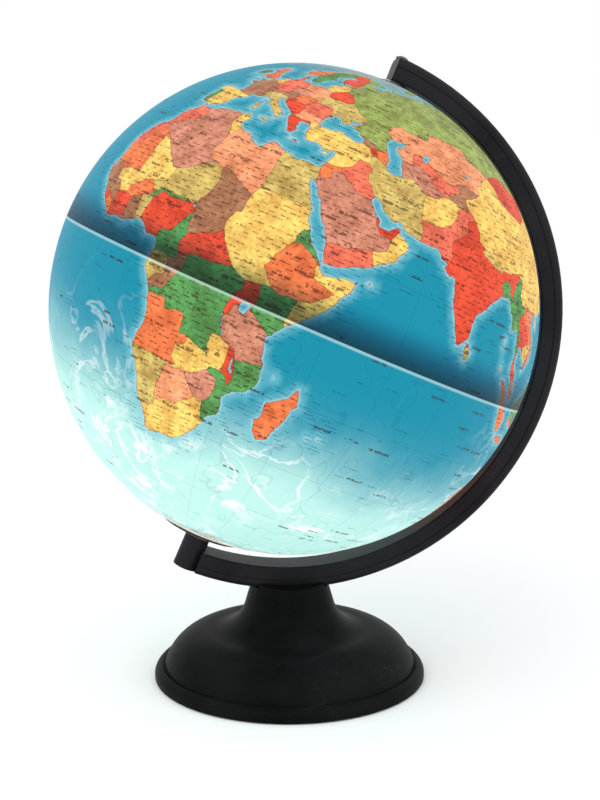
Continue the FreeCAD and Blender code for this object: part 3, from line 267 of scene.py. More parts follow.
    "antarctica": """
    -200 -76 -180 -77.8 -160 -78 -150 -76.8 -135 -74.5 -115 -73.8 -100 -72.5 -80 -73.3 -67 -69 -61 -63.8
    -57 -63.3 -61.5 -66.5 -61 -73.5 -60 -77.5 -37 -78 -27 -75.5 -12 -71.8 0 -70 15 -70 33 -69 50 -66.5
    60 -67.5 70 -68.5 74 -70 80 -67.8 95 -66.5 110 -66.2 130 -66.2 145 -67 160 -69.5 171 -71.8 165 -77.5
    180 -77.8 200 -78 200 -99 -200 -99""",
}

LAKES = {
    "black_sea": """
    28.2 41.6 27.8 43 28.7 44.5 30.7 46.5 32.8 46 33.6 44.6 35.5 45.1 37 45 39 44 41.4 42.5 41.5 41.5
    38.4 41 35.2 42 33 41.9 31.3 41.2""",
    "azov": "35.2 45.6 35.2 46.4 38.2 47.1 39.2 47.1 37.7 45.8",
    "marmara": "27 40.5 28.9 41.1 29.5 40.6 27.5 40.2",
    "caspian": """
    47.2 45 49 46.5 52.8 46.8 53 45.3 50.8 44.4 51.3 43.2 52.7 42.5 53 40.2 53.9 37.1 51 36.8 49 37.8
    49.4 40.3 47.6 43""",
    "aral": "58.4 44 59.5 46.3 61.5 46.4 60.5 44.2", "balkhash": "74 45.2 74.5 46.3 79 46.7 77 45.9",
    "baikal": "104 51.4 107 52 109.8 55.7 108.6 55 106 52.9", "ladoga": "30.9 60.1 32.7 60.6 31.2 61.6",
    "nyanza": "31.8 -.4 33.6 .4 34.2 -.4 33.3 -2.4 32 -2.4",
    "nyasa": "33.9 -9.6 34.6 -11.5 35.2 -14.3 34.6 -14 34.2 -12",
    "tanganyika": "29.2 -3.4 29.7 -4.8 31.1 -8.6 30.4 -8.2 29.3 -5.6",
    "chad": "13.6 13.4 14.6 13.6 14 12.6", "superior": "-92 46.8 -88 48.8 -84.7 46.6 -88 46.8",
    "michigan": "-87.8 42 -86.3 42.2 -85.5 45.5 -87.6 44.8", "huron": "-83.8 45.8 -80.5 45.8 -81.7 43.3",
    "erie": "-83.2 41.7 -79 42.7 -80 42.2", "ontario": "-79.7 43.3 -76.4 43.8 -78 43.3",
    "winnipeg": "-97 50.5 -96.5 53.5 -99 53.5", "slave": "-116.5 61.5 -110 61.5 -113 62.5",
    "bear": "-124 65.8 -118.5 66 -121 67",
}

LANDS = {
    "red": """
    8.6 3.6 9.5 6.6 11.5 6.5 13 9.5 14.5 12.3 13.6 13.6 11.5 13.4 7.5 13 5 13.7 3.6 11.8 2.8 9 2.6 6
    2.6 4/ 15.4 7.5 18.8 9 21 9.7 22.5 11 24 8.7 25.2 7.5 27.4 5.1 22.5 4.1 18.6 4.3 16.5 3.5 16 2.2
    14.5 5/ 30.8 3.5 34 4.2 34.9 1.2 34 -1 29.6 -1.3 29.8 .5 31.2 2.2/ 29 -1.5 30.8 -1.3 30.7 -3.3
    29.5 -4.4 29 -3/ 32.9 -9.4 34 -9.5 34.8 -11.5 35.9 -15 35.3 -17.1 34.3 -15.5 33.2 -14/ -13.4 9.1
    -11 9.9 -10.3 8.4 -11.5 6.7 -13.5 8/ -7.6 4 -8.4 6.5 -8.2 10.3 -5 10.3 -2.7 9.6 -3.1 5 -5 4/ 51 24.5
    50.5 26.5 56.4 26.6 56.5 25 56 24.2 55.2 22.7 52.5 22.9/ 43.5 41.2 45.2 41.3 46.6 39 44.6 39.6/
    68.2 23.6 71 24.5 70 28 73 30 75 32.3 74.3 34 77.5 35.5 79 33 79 31 81 30.2 80.2 28.8 84 27.5 88 26.4
    89 27 92 27 96.5 29.3 97.2 28 94.5 25 93.2 22.5 91.5 23.5 92.3 25.2 89.8 25.5 88.3 24.5 89 21 80 7
    76 7 67 22/ 98 19 100.2 20.3 102 18.2 104.8 17.5 105.4 14.4 102.5 13.5 102.5 11.7 100.5 11 100 9
    102.5 6 100 5.8 97.5 8 98.8 10.2 99.6 12 98.8 16.5/ 19.5 40 21 41.2 26.5 41.2 27 38 24 35 20 36.5/
    87.3 49.2 91 47 91 45 96.5 42.8 105 41.6 111.5 43.6 115.5 47.8 116.5 49.8 108 49.6 98.5 52 92 50.8/
    20.5 59 22 67 28.5 69.5 30 67 30 62 27.5 59.8/ 23.5 54 24 51.5 31 51.8 32 54 30 56 26.5 55.5/ 15 46.5
    19 46 21 45 22.5 42 20 42 16 43.5/ -58 -39 -70 -39 -70.5 -28 -66 -22 -62 -22 -54 -27 -57 -33/ -81 9
    -76 9 -72 12 -70 12 -72 7 -67 6 -67 1 -70 -4 -75 0 -79 1/ -125 49 -95 49 -95 41 -104 41 -104 45
    -125 45/ 129 -9 129 -26 138 -26 138 -9/ 124 39 131 43 131 38 124 37.5""",
    "coral": """
    -18 20.5 -13 21 -13 23 -12 23.5 -12 26 -8.7 26.2 -8.7 28.7 -5.5 30 -1.5 32 -1.8 35.5 -6 37 -11 33
    -15 28 -19 22/ 42.3 37.1 44.8 37.2 46 35.5 45.5 34 47.8 31 48.5 29.8 46.5 29.1 44.7 29.2 40.4 31.9
    38.8 33.4 41 34.4/ 42.4 16.4 43.4 17.3 46.5 17.2 48.5 18.2 52 19 53.2 16.5 52 14.5 45 12 42.5 12.5/
    60.9 29.8 66.4 29.9 69.4 31.7 71 34 71.2 36 75 37.3 77.5 35.5 74.3 34 75 32.3 73 30 70 28 71 24.5
    68.2 23.6 66 24 61.5 24.5 61.8 27/ 56 45 58.5 45.5 61 44.3 66 42 68 41 71 41.9 73 40.3 68.5 38.9
    67.8 37.2 66.6 37.4 62 40.2 58.5 42.7 56 41.4/ 22.5 44 29 43.5 30 45.3 28 48.3 22.5 48 20.5 46/
    6.9 47.5 13 47.6 12.2 50.3 15 51 14.3 54.5 9.5 55.5 6.5 53.7 6 50/ -117 32.5 -106 31.5 -97 26 -97 18
    -87 22 -90 14 -93 14.5 -106 18 -116 28/ 129 -26 141 -26 141 -39 129 -34/ -82 -4 -75 -1 -70 -4
    -69.5 -11 -69 -18 -77 -16 -82 -6/ 129 30 136 36 142 42 143 35 131 30""",
    "peach": """
    9.4 26 10 24.5 12 23.5 14.2 22.6 16 23.4 24 19.6 24 20 25 22 25 31.8 24.5 33 15 33.8 11.4 33.4
    10 30.5/ 20 -22 21 -18.3 23.5 -18.3 25.2 -17.8 27.5 -20.6 29.3 -22.2 26.5 -24.5 25.6 -25.6 22.8 -25.5
    20.7 -26.8 20 -24.8/ 47 48 49 46.4 52.8 46.9 50.8 44.4 52.5 41.8 56 41.4 56 45 58.5 45.5 61 44.3
    66 42 68 41.1 70.9 42.3 74 43.2 80.2 42.2 80 45 82.5 45.4 83 47.2 87.3 49.2 83 51 80 50.8 76.8 54.3
    71 54.3 61.5 54 61 51 54.5 51 50.5 51.6 47 50/ 14.3 54.5 15 51 18.8 49.5 22.6 49.2 24 51 23.4 54
    19.5 54.8/ 19.5 42 22 45 22.6 44 27.8 43.8 28 42 26 41.6 22.5 41.3/ -60 -52 -80 -56 -74 -40 -71 -39
    -60 -39/ 112 -10 129 -10 129 -36 112 -36/ -141 60 -141 71 -102 71 -102 60""",
    "orange": """
    -17.5 16 -14.5 16.6 -12 14.8 -9.5 15.5 -5.5 15.5 -6.5 25 -4.8 25 -8.7 27.3 -8.7 26 -12 26 -12 23.5
    -13 23 -13 21.2 -18 21/ -11.5 6.7 -10.3 8.4 -9.2 7.9 -8.4 6.5 -7.6 4 -9 4/ -5.4 10.4 -2.8 9.7 0 11.1
    2.3 12 .3 15 -2 14.2 -5 12/ 36.5 14.3 38.5 14.6 42.3 12.5 42 11 43 9.2 48 8 45 5 41.9 4 40 4.2 38 3.6
    36 4.5 33 7.8 34.3 10.7/ 12 -6 16.5 -5.9 17.5 -8 19.5 -7 21.8 -7.3 22 -11.2 24 -11 24 -13 22 -13
    22 -16.3 23.3 -17.6 18.5 -17.4 14 -17.4 11 -17.2 11 -12/ 42 -11 52 -11 52 -26 42 -27/ 27 -29.6
    28.6 -28.6 29.4 -29.6 28 -30.6/ 35 29.5 34.9 32.7 38.8 33.4 39 32 37 31.5 38 30.5 36.5 29.2/ 45 41.2
    46.5 41.8 49 41.9 51 40.3 49 38.3 46.6 39/ -6 50 2 50.8 2 54 -4 59 -6 56/ 94 6 98 6 104 0 107 -3
    115 -7 125 -8 125 -10 105 -9/ 100.2 20.3 102 22.4 105 19.5 107.5 15.5 105.4 14.4 104.8 17.5 102 18.2/
    4 58 11 58.5 12.5 64 18 69 30 71 20 71 4 62/ 16 48.5 22.3 48.5 22 46 17 46/ -74 -22 -71 -18 -68 -20
    -67 -23 -70 -28 -71 -39 -77 -44/ -125 42 -114 42 -114 37 -117 32 -125 37/ 138 -10 154 -10 154 -28
    138 -28""",
    "yellow": """
    -12.2 14.8 -11.4 12.2 -10 12 -8.5 10.2 -6 10.2 -5 12 -2 14.2 0 15 3.5 15.4 4.2 16.8 4.2 19.2 3.2 19
    -4.8 25 -6.5 25 -5.5 15.5 -9.5 15.5/ 8.4 37.6 7.6 34 9 32 10.2 30.2 11.6 32.5 12 34 11.5 38/ 24 20
    25 22 37 22 38.8 18 37 17 36.5 14.3 34.3 10.7 34.2 8.5 33 7.8 36 4.5 34 4.2 31 3.7 29 4.5 27.2 5.3
    25.2 7.5 24 8.7 22.5 10.8 22 13 23 15.7 24 15.7/ 43 11.5 43 9.2 48 8 45 5 41.9 4 41 -.9 41.6 -1.8
    44 -1 53 12 50 12.5/ 24 -11 28 -12.3 29.7 -13.4 28.6 -11 28.5 -8.4 30.5 -8.3 32.9 -9.4 33.2 -12.5
    32.8 -14 30.3 -15 30.3 -15.6 27 -17.9 25.2 -17.8 23.3 -17.6 22 -16.3 22 -13 24 -13/ 16 -28.6 20 -28.4
    20 -24.8 20.7 -26.8 22.8 -25.5 25.6 -25.6 26.5 -24.5 29.3 -22.2 31.3 -22.4 32 -25.5 33 -26.8 33 -29
    29 -34 20 -36 17 -34/ 25.5 42 29 41.3 33 42.5 38 41.2 41.5 41.6 43.5 41.1 44.8 39.7 44.5 37.2
    42.3 37.1 38 36.8 36.2 35.9 30 35.8 25.5 36.5/ 35.6 34.6 36.4 36.8 42.3 37.1 41 34.4 38.8 33.4
    35.7 32.6/ 52 19 55 20 55.2 22.7 56 24.2 56.5 25 60 24 61 22 57 17 53.1 16.4/ 60.8 34 61.2 35.6
    64.5 36.3 66.6 37.4 70 37.6 71.5 36.7 75 37.3 71.2 36 71 34 69.4 31.7 66.4 29.9 60.9 29.8/ -7.4 36
    -7 39.7 -6.3 41.7 -8.8 42.1 -10 44 -1.8 43.6 -1.4 43 3.4 42.5 4 41 0 36 -5 35.8/ 2.5 51 6 50 6.8 53.7
    4.5 53.5/ 102.5 13.5 105.4 14.4 107.5 14.3 106 11 104.5 10 102.5 11.5/ 73.7 39.5 76.5 40.4 80.2 42.2
    80 45 82.5 45.4 83 47.2 87.3 49.2 91 47 91 45 96.5 42.8 105 41.6 111.5 43.6 115.5 47.8 120 49.8
    121 53.3 127 50 131 47.8 135 48.3 131 44.8 130.5 42.6 124.5 40 122 38 123 31 120 25 111 17.5 108 21.5
    102 22.4 101 21.6 99 22 97.7 24 98.7 27.5 97.2 28 92 27.8 88 27.9 81 30.2 79 31 79 33 77.5 35.5
    75 37.3/ 21 57.5 28 59.8 28 57.5 23.5 54 20 54.5/ -67 1 -60 1 -60 5 -60 10 -73 12 -72 7 -67 6/
    -70 -11 -69 -18 -67 -23 -62 -22 -58 -18 -60 -14 -65 -10/ -114 49 -95 49 -79 43 -74 45 -60 52 -79 52
    -95 60 -114 60/ 141 -28 154 -28 151 -39 141 -39/ -89 30 -80 25 -75 36 -89 36""",
    "green": """
    2.2 12.3 3.6 11.9 5 13.7 7.5 13 11.5 13.4 13 13.8 4.5 14.5/ 8.6 3.8 9.5 6.6 11.5 6.5 13 9.5 14.5 12.6
    15 10.3 14 10 15.4 7.5 14.5 5 16 2 13 2.2 9.6 2.2 8 3/ 18 3.5 18.6 4.3 22.5 4.1 27.4 5.1 30.8 3.5
    31.2 2.2 29.8 .5 29.4 -3 29.3 -4.5 30.5 -8.3 28.5 -8.4 28.6 -11 29.7 -13.4 28 -12.3 24 -11 22 -11.2
    21.8 -7.3 19.5 -7 17.5 -8 16.5 -5.9 12.2 -6 12.6 -4.6 15.2 -4.5 16.2 -2.2 17.8 .5/ 34 4.2 36 4.5
    38 3.6 40 4.2 41.9 4 41 -.9 41.6 -1.8 39.6 -4.7 34 -1 34.9 1.2/ 37 17 38.8 18.2 43.2 12.7 42.3 12.4
    38.5 14.6 36.5 14.3/ 40.8 -10.4 34.8 -11.5 35.9 -15 35.3 -17.1 34.3 -15.5 30.3 -15 30.4 -16
    32.9 -16.7 33 -19 32.5 -21.3 31.3 -22.4 32 -26.8 34 -27 37 -24 41.5 -15/ -10 36.8 -7.4 37 -7 39.7
    -6.3 41.7 -8.8 42.1 -10 42/ -11 51 -5.5 51.5 -5.5 55.5 -10 55/ 88.3 24.5 89.8 25.5 92.3 25.2 92.6 21
    91 21.5 89 21.3/ 92.3 20.8 93.2 22.5 94.5 25 97.2 28 98.7 27.5 97.7 24 99 22 101 21.6 98 19 98.8 16.5
    99.6 12 98.6 9.9 96 14 93.5 17/ 108 1 113 0 116 4 119 6 117 8 109 3/ -67 1 -60 5 -52 4 -50 2 -34 -3
    -34 -10 -38 -20 -48 -30 -54 -34 -57 -30 -54 -27 -58 -18 -60 -14 -65 -10 -73 -8 -70 -4/ -125 45
    -104 45 -104 41 -95 41 -89 36 -100 30 -106 31.5 -114 33 -114 42 -125 42/ 165 -48 180 -48 180 -33
    170 -33/ -95 49 -79 43 -82 41 -95 41/ 131 0 141 0 141 -10 131 -8/ 11 55.5 20 60 24 66 20 69 14 65
    12 60""",
    "lime": """
    28 69.5 30 67 30 62 27.5 59.8 28 57.5 31 55.5 34 53 36 50.5 40 49 38.2 47 39 44 43.5 42.8 46.5 41.8
    49.5 44.8 47 48 47 50 50.5 51.6 54.5 51 61 51 61.5 54 71 54.3 76.8 54.3 80 50.8 83 51 87.3 49.2
    92 50.8 98.5 52 108 49.6 116.5 49.8 121 53.3 127 50 131 47.8 135 48.3 131 44.8 130.5 42.6 134 42
    145 46 146 55 160 50 165 56 180 62 195 65 195 72 150 75 110 80 60 80 35 71.5""",
    "olive": """
    25 22 31.3 22 37 22 36.5 24 35 28 34.9 29.5 34.2 31.4 33 32 25 32.2/ 12 23.5 6 19.5 4.2 19.2 4.2 16.8
    3.5 15.4 1 15 .3 14.9 2.2 12.8 5 14 7.5 13.4 11.5 13.8 13.6 13.8 15.5 17 15.9 20.3 14.5 22.9/ 8.5 1
    11.3 2.2 13.3 2.2 14 1 14.4 -1.5 12.5 -2.3 11.3 -4 8 -1/ 1.2 5.8 0 11.1 2.3 12.3 3.6 11.7 2.7 9
    2.6 5.8/ 11 -17.2 14 -17.4 18.5 -17.4 21 -18.2 24 -17.6 24.5 -18 21 -18.3 21 -22 20 -22 20 -28.4
    16.5 -28.7 13 -26 11 -18/ 44.5 39.6 44.8 37.2 46 35.5 45.5 34 47.8 31 48.7 30 53 26 60 25 61.8 25
    61.8 27 63 27.3 61 29.5 60.8 34 61.2 35.6 57 38.2 53.9 37.3 49 38.4 47 39.3/ 6.8 45.9 7.3 43.5 9.5 43
    7 38 12 36 17 36.5 19.5 40 16 43 13.7 44.5 13.7 46.5 10 46.8/ 22.3 48.5 24 51.5 31 51.8 34 52 36 50.5
    40 49 38.2 47 36 44 32 44.5 29 45.3 29.5 46.5 28 48/ 79 10.1 82.3 9 82.5 5.5 79.3 5.5/ 80.2 28.8
    81 30.2 88 27.9 88 26.4 84 27.5/ 118 18 126 18 127 5 118 5/ -56 -30 -54 -34 -58 -34 -58 -30/ -60 5
    -57 6 -51 4.5 -52 2 -60 1/ 141 0 152 -3 152 -12 141 -10/ -141 60 -130 54 -124 48 -114 49 -114 60""",
    "mauve": """
    -8.7 27.3 -4.8 25 3.2 19 6 19.5 12 23.5 10 24.5 9.4 26 10 30 9 32 7.6 34 8.5 37.5 -2.2 36.5 -1.6 32.5
    -5.5 30 -8.7 28.7/ 34 -1 39.6 -4.7 40.2 -7 40.6 -10.5 35 -11.6 34 -9.4 31 -8.6 29.3 -5 30.4 -2.8
    30.5 -1/ 35 28 34.9 29.4 36.5 29.2 38 30.5 37 31.5 39 32 40.4 31.9 44.7 29.2 46.5 29.1 48.5 28.4
    50.5 25.5 51 24.5 52.5 22.9 55.2 22.7 55 20 52 19 48.5 18.2 46.5 17.2 43.4 17.3 42.6 16.3 38 21/
    53 41.9 57 42 58.5 42.7 62 40.2 66.6 37.4 64.5 36.3 61.2 35.6 57 38.2 53.8 37.3 52.3 40/ 25.2 -17.8
    27 -17.9 30.3 -15.6 32.9 -16.7 33 -19 32.5 -21.3 31.3 -22.4 29.3 -22.2 27.5 -20.6/ 102 22.4 108 21.5
    110 12 105 8 105.5 11 107.5 14.3 107.5 15.5 105 19.5/ 99.5 6.5 102.5 6.2 105 1 101 2/ 12.2 50.3 15 51
    18.8 49.5 17 48.7 12.8 48.8/ -92 17 -82 8 -76 8 -83 16/ -81 52 -60 52 -60 63 -80 63/ -63 -19 -58 -19
    -54 -24 -55 -27 -58 -27""",
    "brown": """
    14.5 22.9 16 23.4 24 19.6 24 15.7 22.9 15.6 22 12.9 22.3 11 21 9.7 18.8 9 15.5 7.5 15.3 9.9 14 10
    15 12.5 13.6 13.8 15.5 17 15.9 20.3/ 16 2.2 18 3.5 17.8 .5 16.2 -2.2 15.2 -4.5 12 -5 11 -4 12.5 -2.3
    14.4 -1.5 14 1 13.3 2.2/ -18 16.5 -14.5 16.7 -12.2 14.8 -11.4 12.4 -9 12.4 -8 10.2 -8.2 7.6 -10 8.4
    -13.3 9 -15.5 10.5 -18 12.3/ -3.1 4.8 -2.8 11 0 11.1 1.2 5.8 0 5/ -1.8 43.5 -1.4 43 3.4 42.4 8 43
    7.5 44 6.8 46 6.9 47.5 8 49 4.2 50 2.3 51.3 -5.5 49.5 -3 46/ 39.8 43.6 43.5 42.8 46.5 41.8 45.2 41.2
    41.3 41.4/ 70.9 42.3 74 43.2 80.2 42.2 76.5 40.4 73.7 39.5 69.5 39.5 72.5 40.8 71 41.5/ 68 41
    70.5 40.2 69.5 39.5 73.7 39.5 75 37.3 71.5 36.7 70 37.6 67.8 37.2 68.4 38.9/ 6.9 47.5 13 48.5 16 48.8
    16 46.5 13.7 46.5 10 46.8 6.8 45.9/ -102 71 -102 60 -95 60 -79 52 -81 52 -80 63 -60 63 -60 74
    -100 74/ -80 1 -75 0 -75 -3 -81 -5/ -95 41 -82 41 -75 36 -74 45 -66 45 -68 40 -74 36""",
}


def outline(words):
    """A closed outline from a run of longitudes and latitudes."""
    numbers = [float(word) for word in words.split()]
    return np.array(numbers).reshape(-1, 2)


def inside_distance(points, lon, lat, reach):
    """Degrees from each place to the outline's nearest edge, positive inside it. Latitudes come sorted."""
    middle = (points[:, 0].min() + points[:, 0].max()) / 2
    lon = (lon - middle + 180) % 360 - 180 + middle
    squeeze = np.cos(np.radians(lat))
    closest = np.full(len(lon), reach * reach)
    within = np.zeros(len(lon), bool)
    for start, end in zip(points, np.roll(points, -1, 0)):
        south, north = sorted((start[1], end[1]))
        rise = end[1] - start[1]
        near = slice(*np.searchsorted(lat, (south - reach, north + reach)))
        run = (end[0] - start[0]) * squeeze[near]
        east = (lon[near] - start[0]) * squeeze[near]
        up = lat[near] - start[1]
        along = np.clip((east * run + up * rise) / (run * run + rise * rise + 1e-12), 0, 1)
        closest[near] = np.minimum(closest[near], (east - along * run) ** 2 + (up - along * rise) ** 2)
        if rise:
            band = slice(*np.searchsorted(lat, (south, north)))
            within[band] ^= lon[band] < start[0] + (lat[band] - start[1]) / rise * (end[0] - start[0])
    return np.where(within, 1, -1) * np.sqrt(closest)


def greatest(outlines, lon, lat, reach):
    """The greatest inside distance among the outlines."""
    return np.max([inside_distance(outline(words), lon, lat, reach) for words in outlines], 0)


# ---- shader maths ----

class Wire:
    """A shader socket that Python's operators work on."""

    def __init__(self, paint, socket):
        self.paint, self.socket = paint, socket

    def maths(self, operation, *others):
        """One step of the shader's arithmetic."""
        return self.paint.node("ShaderNodeMath", {"operation": operation}, (self, *others))

    __add__ = __radd__ = partialmethod(maths, "ADD")
    __sub__ = partialmethod(maths, "SUBTRACT")
    __mul__ = partialmethod(maths, "MULTIPLY")
    __truediv__ = partialmethod(maths, "DIVIDE")
    __gt__ = partialmethod(maths, "GREATER_THAN")
    __lt__ = partialmethod(maths, "LESS_THAN")

    def step(self, low, high, start=0.0, end=1.0):
        """A smooth change from start to end as this goes from low to high."""
        values = {"Value": self, "From Min": low, "From Max": high, "To Min": start, "To Max": end}
        return self.paint.node("ShaderNodeMapRange", {"interpolation_type": "SMOOTHSTEP"}, values)

    def off_middle(self):
        """How far this lies from a half, either way."""
        return (self - 0.5).maths("ABSOLUTE")

    def veins(self, low, high):
        """Thin lines where a noise passes its middle value."""
        return self.off_middle().step(low, high, 1.0, 0.0)


class Paint:
    """A material made of nodes."""

    def __init__(self, name, **constants):
        self.material = bpy.data.materials.new(name)
        self.material.use_nodes = True
        self.nodes = self.material.node_tree.nodes
        self.links = self.material.node_tree.links
        self.shader = self.nodes["Principled BSDF"]
        for socket, value in constants.items():
            self.shader.inputs[socket.replace("_", " ")].default_value = value

    def node(self, kind, settings=None, values=(), out=0):
        """Adds a node, sets and feeds it, and gives one of its outputs."""
        made = self.nodes.new(kind)
        for key, value in (settings or {}).items():
            setattr(made, key, value)
        pairs = values.items() if isinstance(values, dict) else enumerate(values)
        for key, value in pairs:
            self.feed(made.inputs[key], value)
        return Wire(self, made.outputs[out])

    def parts(self, kind, whole):
        """The three parts of a place or a colour."""
        return [self.node(kind, values=(whole,), out=part) for part in range(3)]

    def feed(self, socket, value):
        """Links a wire to a socket, or sets the socket to a value."""
        if isinstance(value, Wire):
            self.links.new(value.socket, socket)
        elif socket.type == "RGBA":
            socket.default_value = (*value, 1)
        else:
            socket.default_value = tuple(value) if hasattr(value, "__len__") else value

    def drive(self, **links):
        """Feeds the shader's own sockets."""
        for socket, value in links.items():
            self.feed(self.shader.inputs[socket.replace("_", " ")], value)

    def mix(self, factor, under, over, blend="MIX"):
        """Lays one colour over another."""
        made = self.nodes.new("ShaderNodeMix")
        made.data_type = "RGBA"
        made.blend_type = blend
        for place, value in ((0, factor), (6, under), (7, over)):
            self.feed(made.inputs[place], value)
        return Wire(self, made.outputs[2])

    def tint(self, under, over, factor=1.0):
        """One colour multiplied by another."""
        return self.mix(factor, under, over, "MULTIPLY")

    def object_place(self):
        return self.node("ShaderNodeTexCoord", out="Object")

    def noise(self, place, scale, detail=3.0, roughness=0.5, distortion=0.0, out=0):
        """A cloud of noise, scale in lumps to the metre."""
        return self.node("ShaderNodeTexNoise", {}, {"Vector": place, "Scale": scale, "Detail": detail,
                                                    "Roughness": roughness, "Distortion": distortion}, out)

    def vector(self, x, y, z):
        return self.node("ShaderNodeCombineXYZ", values=(x, y, z))

    def bump(self, height, distance):
        return self.node("ShaderNodeBump", values={"Height": height, "Distance": distance})


# ---- the printed map: its tones as linear colours, and how strongly each layer shows ----

HILLS = ((0.66, 0.54, 0.44), (1.2, 1.2, 1.14))
RELIEF = ((0.64, 0.56, 0.46), (1.18, 1.17, 1.1))
STREAK, FOAM, SURF = (0.94, 0.98, 0.97), (0.96, 0.99, 0.98), (0.66, 0.76, 0.8)
DEPTH_LINE, GRID_LINE, SEA_INK = (0.0, 0.1, 0.2), (0.0, 0.08, 0.14), (0.0, 0.07, 0.16)
SEAM_GLOW, RING_SHADE, CLEAR = (0.7, 0.93, 0.9), (0.4, 0.62, 0.8), (1.0, 1.0, 1.0)

SHOWS = {"hills": 0.75, "relief": 0.5, "borders": 0.5, "streaks": 0.95, "foam": 0.8, "depth_lines": 0.16,
         "shelf": 0.6, "surf": 0.4, "grid": 0.14, "sea_marks": 0.6, "coast": 0.4, "marks": 0.7,
         "seam_glow": 0.55, "lit_wall": 0.7}

GRID_STEP = 15               # degrees from one grid line to the next
GRID_EDGE = 0.491            # shares of a step from its middle at which the line begins
DEPTH_STEPS = 9
FINE_MARKS, BROAD_MARKS, SEA_MARKS = (1.05, 3.2), (2.1, 7.0), (0.9, 4.2)    # degrees: row height, cell width


def map_paint():
    """The printed, lamp-lit map. It reads the coast and land distances that the ball's points carry."""
    look = bpy.context.scene.globe_map
    paint = Paint("printed_map", Roughness=0.5, Specular_IOR_Level=0.12, Emission_Strength=1.0)
    spot = paint.node("ShaderNodeMapping", {"vector_type": "TEXTURE"},
                      {"Vector": paint.object_place(), "Location": BALL_CENTRE, "Rotation": (0, TILT, 0)})
    east, north, up = paint.parts("ShaderNodeSeparateXYZ", spot)
    latitude = (up / BALL_RADIUS).maths("ARCSINE") * math.degrees(1)
    longitude = north.maths("ARCTAN2", east) * math.degrees(1)
    wobble = paint.noise(spot, scale=260.0, out=1)
    shake = [part - 0.5 for part in paint.parts("ShaderNodeSeparateColor", wobble)]
    relief = paint.noise(spot, scale=420.0, detail=4.0, roughness=0.6)
    land = carried(paint, "land") + shake[0] * 1.1
    on_land = land > 0

    deep = open_sea(paint, look, spot, latitude)
    sea = shallow_sea(paint, look, deep, land, shake)
    lines = [(angle / GRID_STEP).maths("FRACT").off_middle() > GRID_EDGE for angle in (latitude, longitude)]
    sea = paint.mix(lines[0].maths("MAXIMUM", lines[1]) * SHOWS["grid"], sea, GRID_LINE)
    near_land = land.step(-6.5, -0.8)
    sea_marks = place_marks(paint, latitude, longitude, spot, *SEA_MARKS, near_land * 0.62 + 0.05)
    sea = paint.mix(sea_marks * SHOWS["sea_marks"], sea, SEA_INK)

    print_colour = paint.mix(on_land, sea, lands(paint, look, spot, shake, relief))
    coast = land.maths("ABSOLUTE").step(0.04, 0.2, 1.0, 0.0)
    print_colour = paint.mix(coast * SHOWS["coast"], print_colour, look.ink)
    marks = place_marks(paint, latitude, longitude, spot, *FINE_MARKS, on_land * 0.85)
    broad = place_marks(paint, latitude, longitude, spot, *BROAD_MARKS, 0.1 + on_land * 0.3)
    print_colour = paint.mix(marks.maths("MAXIMUM", broad) * SHOWS["marks"], print_colour, look.ink)

    lit = paint.tint(print_colour, lamp_light(paint, latitude))
    rim = latitude.step(-0.75, -0.35) * latitude.step(0.0, -0.05)
    glow = paint.mix(rim * SHOWS["seam_glow"], lit, SEAM_GLOW)
    paint.drive(Base_Color=paint.tint(paint.mix(SHOWS["lit_wall"], print_colour, lit), (look.room,) * 3),
                Emission_Color=paint.tint(glow, (look.lamp,) * 3),
                Roughness=relief * 0.16 + 0.42,
                Normal=paint.bump(relief, 0.00006))
    return paint.material


def carried(paint, name):
    """A distance in degrees that the ball's points carry."""
    return paint.node("ShaderNodeAttribute", {"attribute_name": name}, out="Fac")


def lands(paint, look, spot, shake, relief):
    """Each land in its tint, shaded by hills, with borders where two lands come equally close."""
    tint = look.ice
    best = carried(paint, "ice") + shake[2] * 0.6
    second = None
    for place, name in enumerate(LANDS):
        here = carried(paint, name) + shake[place % 3] * (0.9 if place < 5 else -0.9)
        tint = paint.mix(here > best, tint, getattr(look, name))
        runner = here.maths("MINIMUM", best)
        second = runner if second is None else second.maths("MAXIMUM", runner)
        best = here.maths("MAXIMUM", best)
    border = (best - second).step(0.08, 0.24, 1.0, 0.0)
    grain = paint.noise(spot, scale=90.0, detail=6.0, roughness=0.62)
    shaded = paint.tint(tint, paint.mix(grain.step(0.34, 0.66), *HILLS), SHOWS["hills"])
    shaded = paint.tint(shaded, paint.mix(relief.step(0.35, 0.65), *RELIEF), SHOWS["relief"])
    return paint.mix(border * SHOWS["borders"], shaded, look.ink)


def open_sea(paint, look, spot, latitude):
    """Blue water that pales towards the south, with streaks, foam and fine depth lines."""
    cloud = paint.noise(spot, scale=13.0, detail=5.0, roughness=0.6)
    south = latitude.step(-3, -48)
    pale = (south + (cloud - 0.5) * south.step(0, 0.3) * 0.9).step(0, 1)
    deep = paint.mix(pale, look.warm_sea, look.cold_sea)
    # Painted shade: the water greys towards the north pole, where less of the lamp's light reaches the wall.
    deep = paint.mix(latitude.step(58, 80), deep, look.arctic)
    swirl = paint.noise(spot, scale=21.0, detail=5.0, roughness=0.55, distortion=1.2)
    patch = paint.noise(spot, scale=10.0).step(0.42, 0.6)
    streaks = swirl.veins(0.004, 0.03) * patch * latitude.step(0, -30, 0.0, SHOWS["streaks"])
    deep = paint.mix(streaks, deep, STREAK)
    foam = paint.noise(spot, scale=34.0, detail=5.0, roughness=0.7).step(0.56, 0.68) * latitude.step(-18, -48)
    deep = paint.mix(foam * SHOWS["foam"], deep, FOAM)
    depth = (paint.noise(spot, scale=16.0, roughness=0.45) * DEPTH_STEPS).maths("FRACT").off_middle()
    return paint.mix((depth < 0.02) * SHOWS["depth_lines"], deep, DEPTH_LINE)


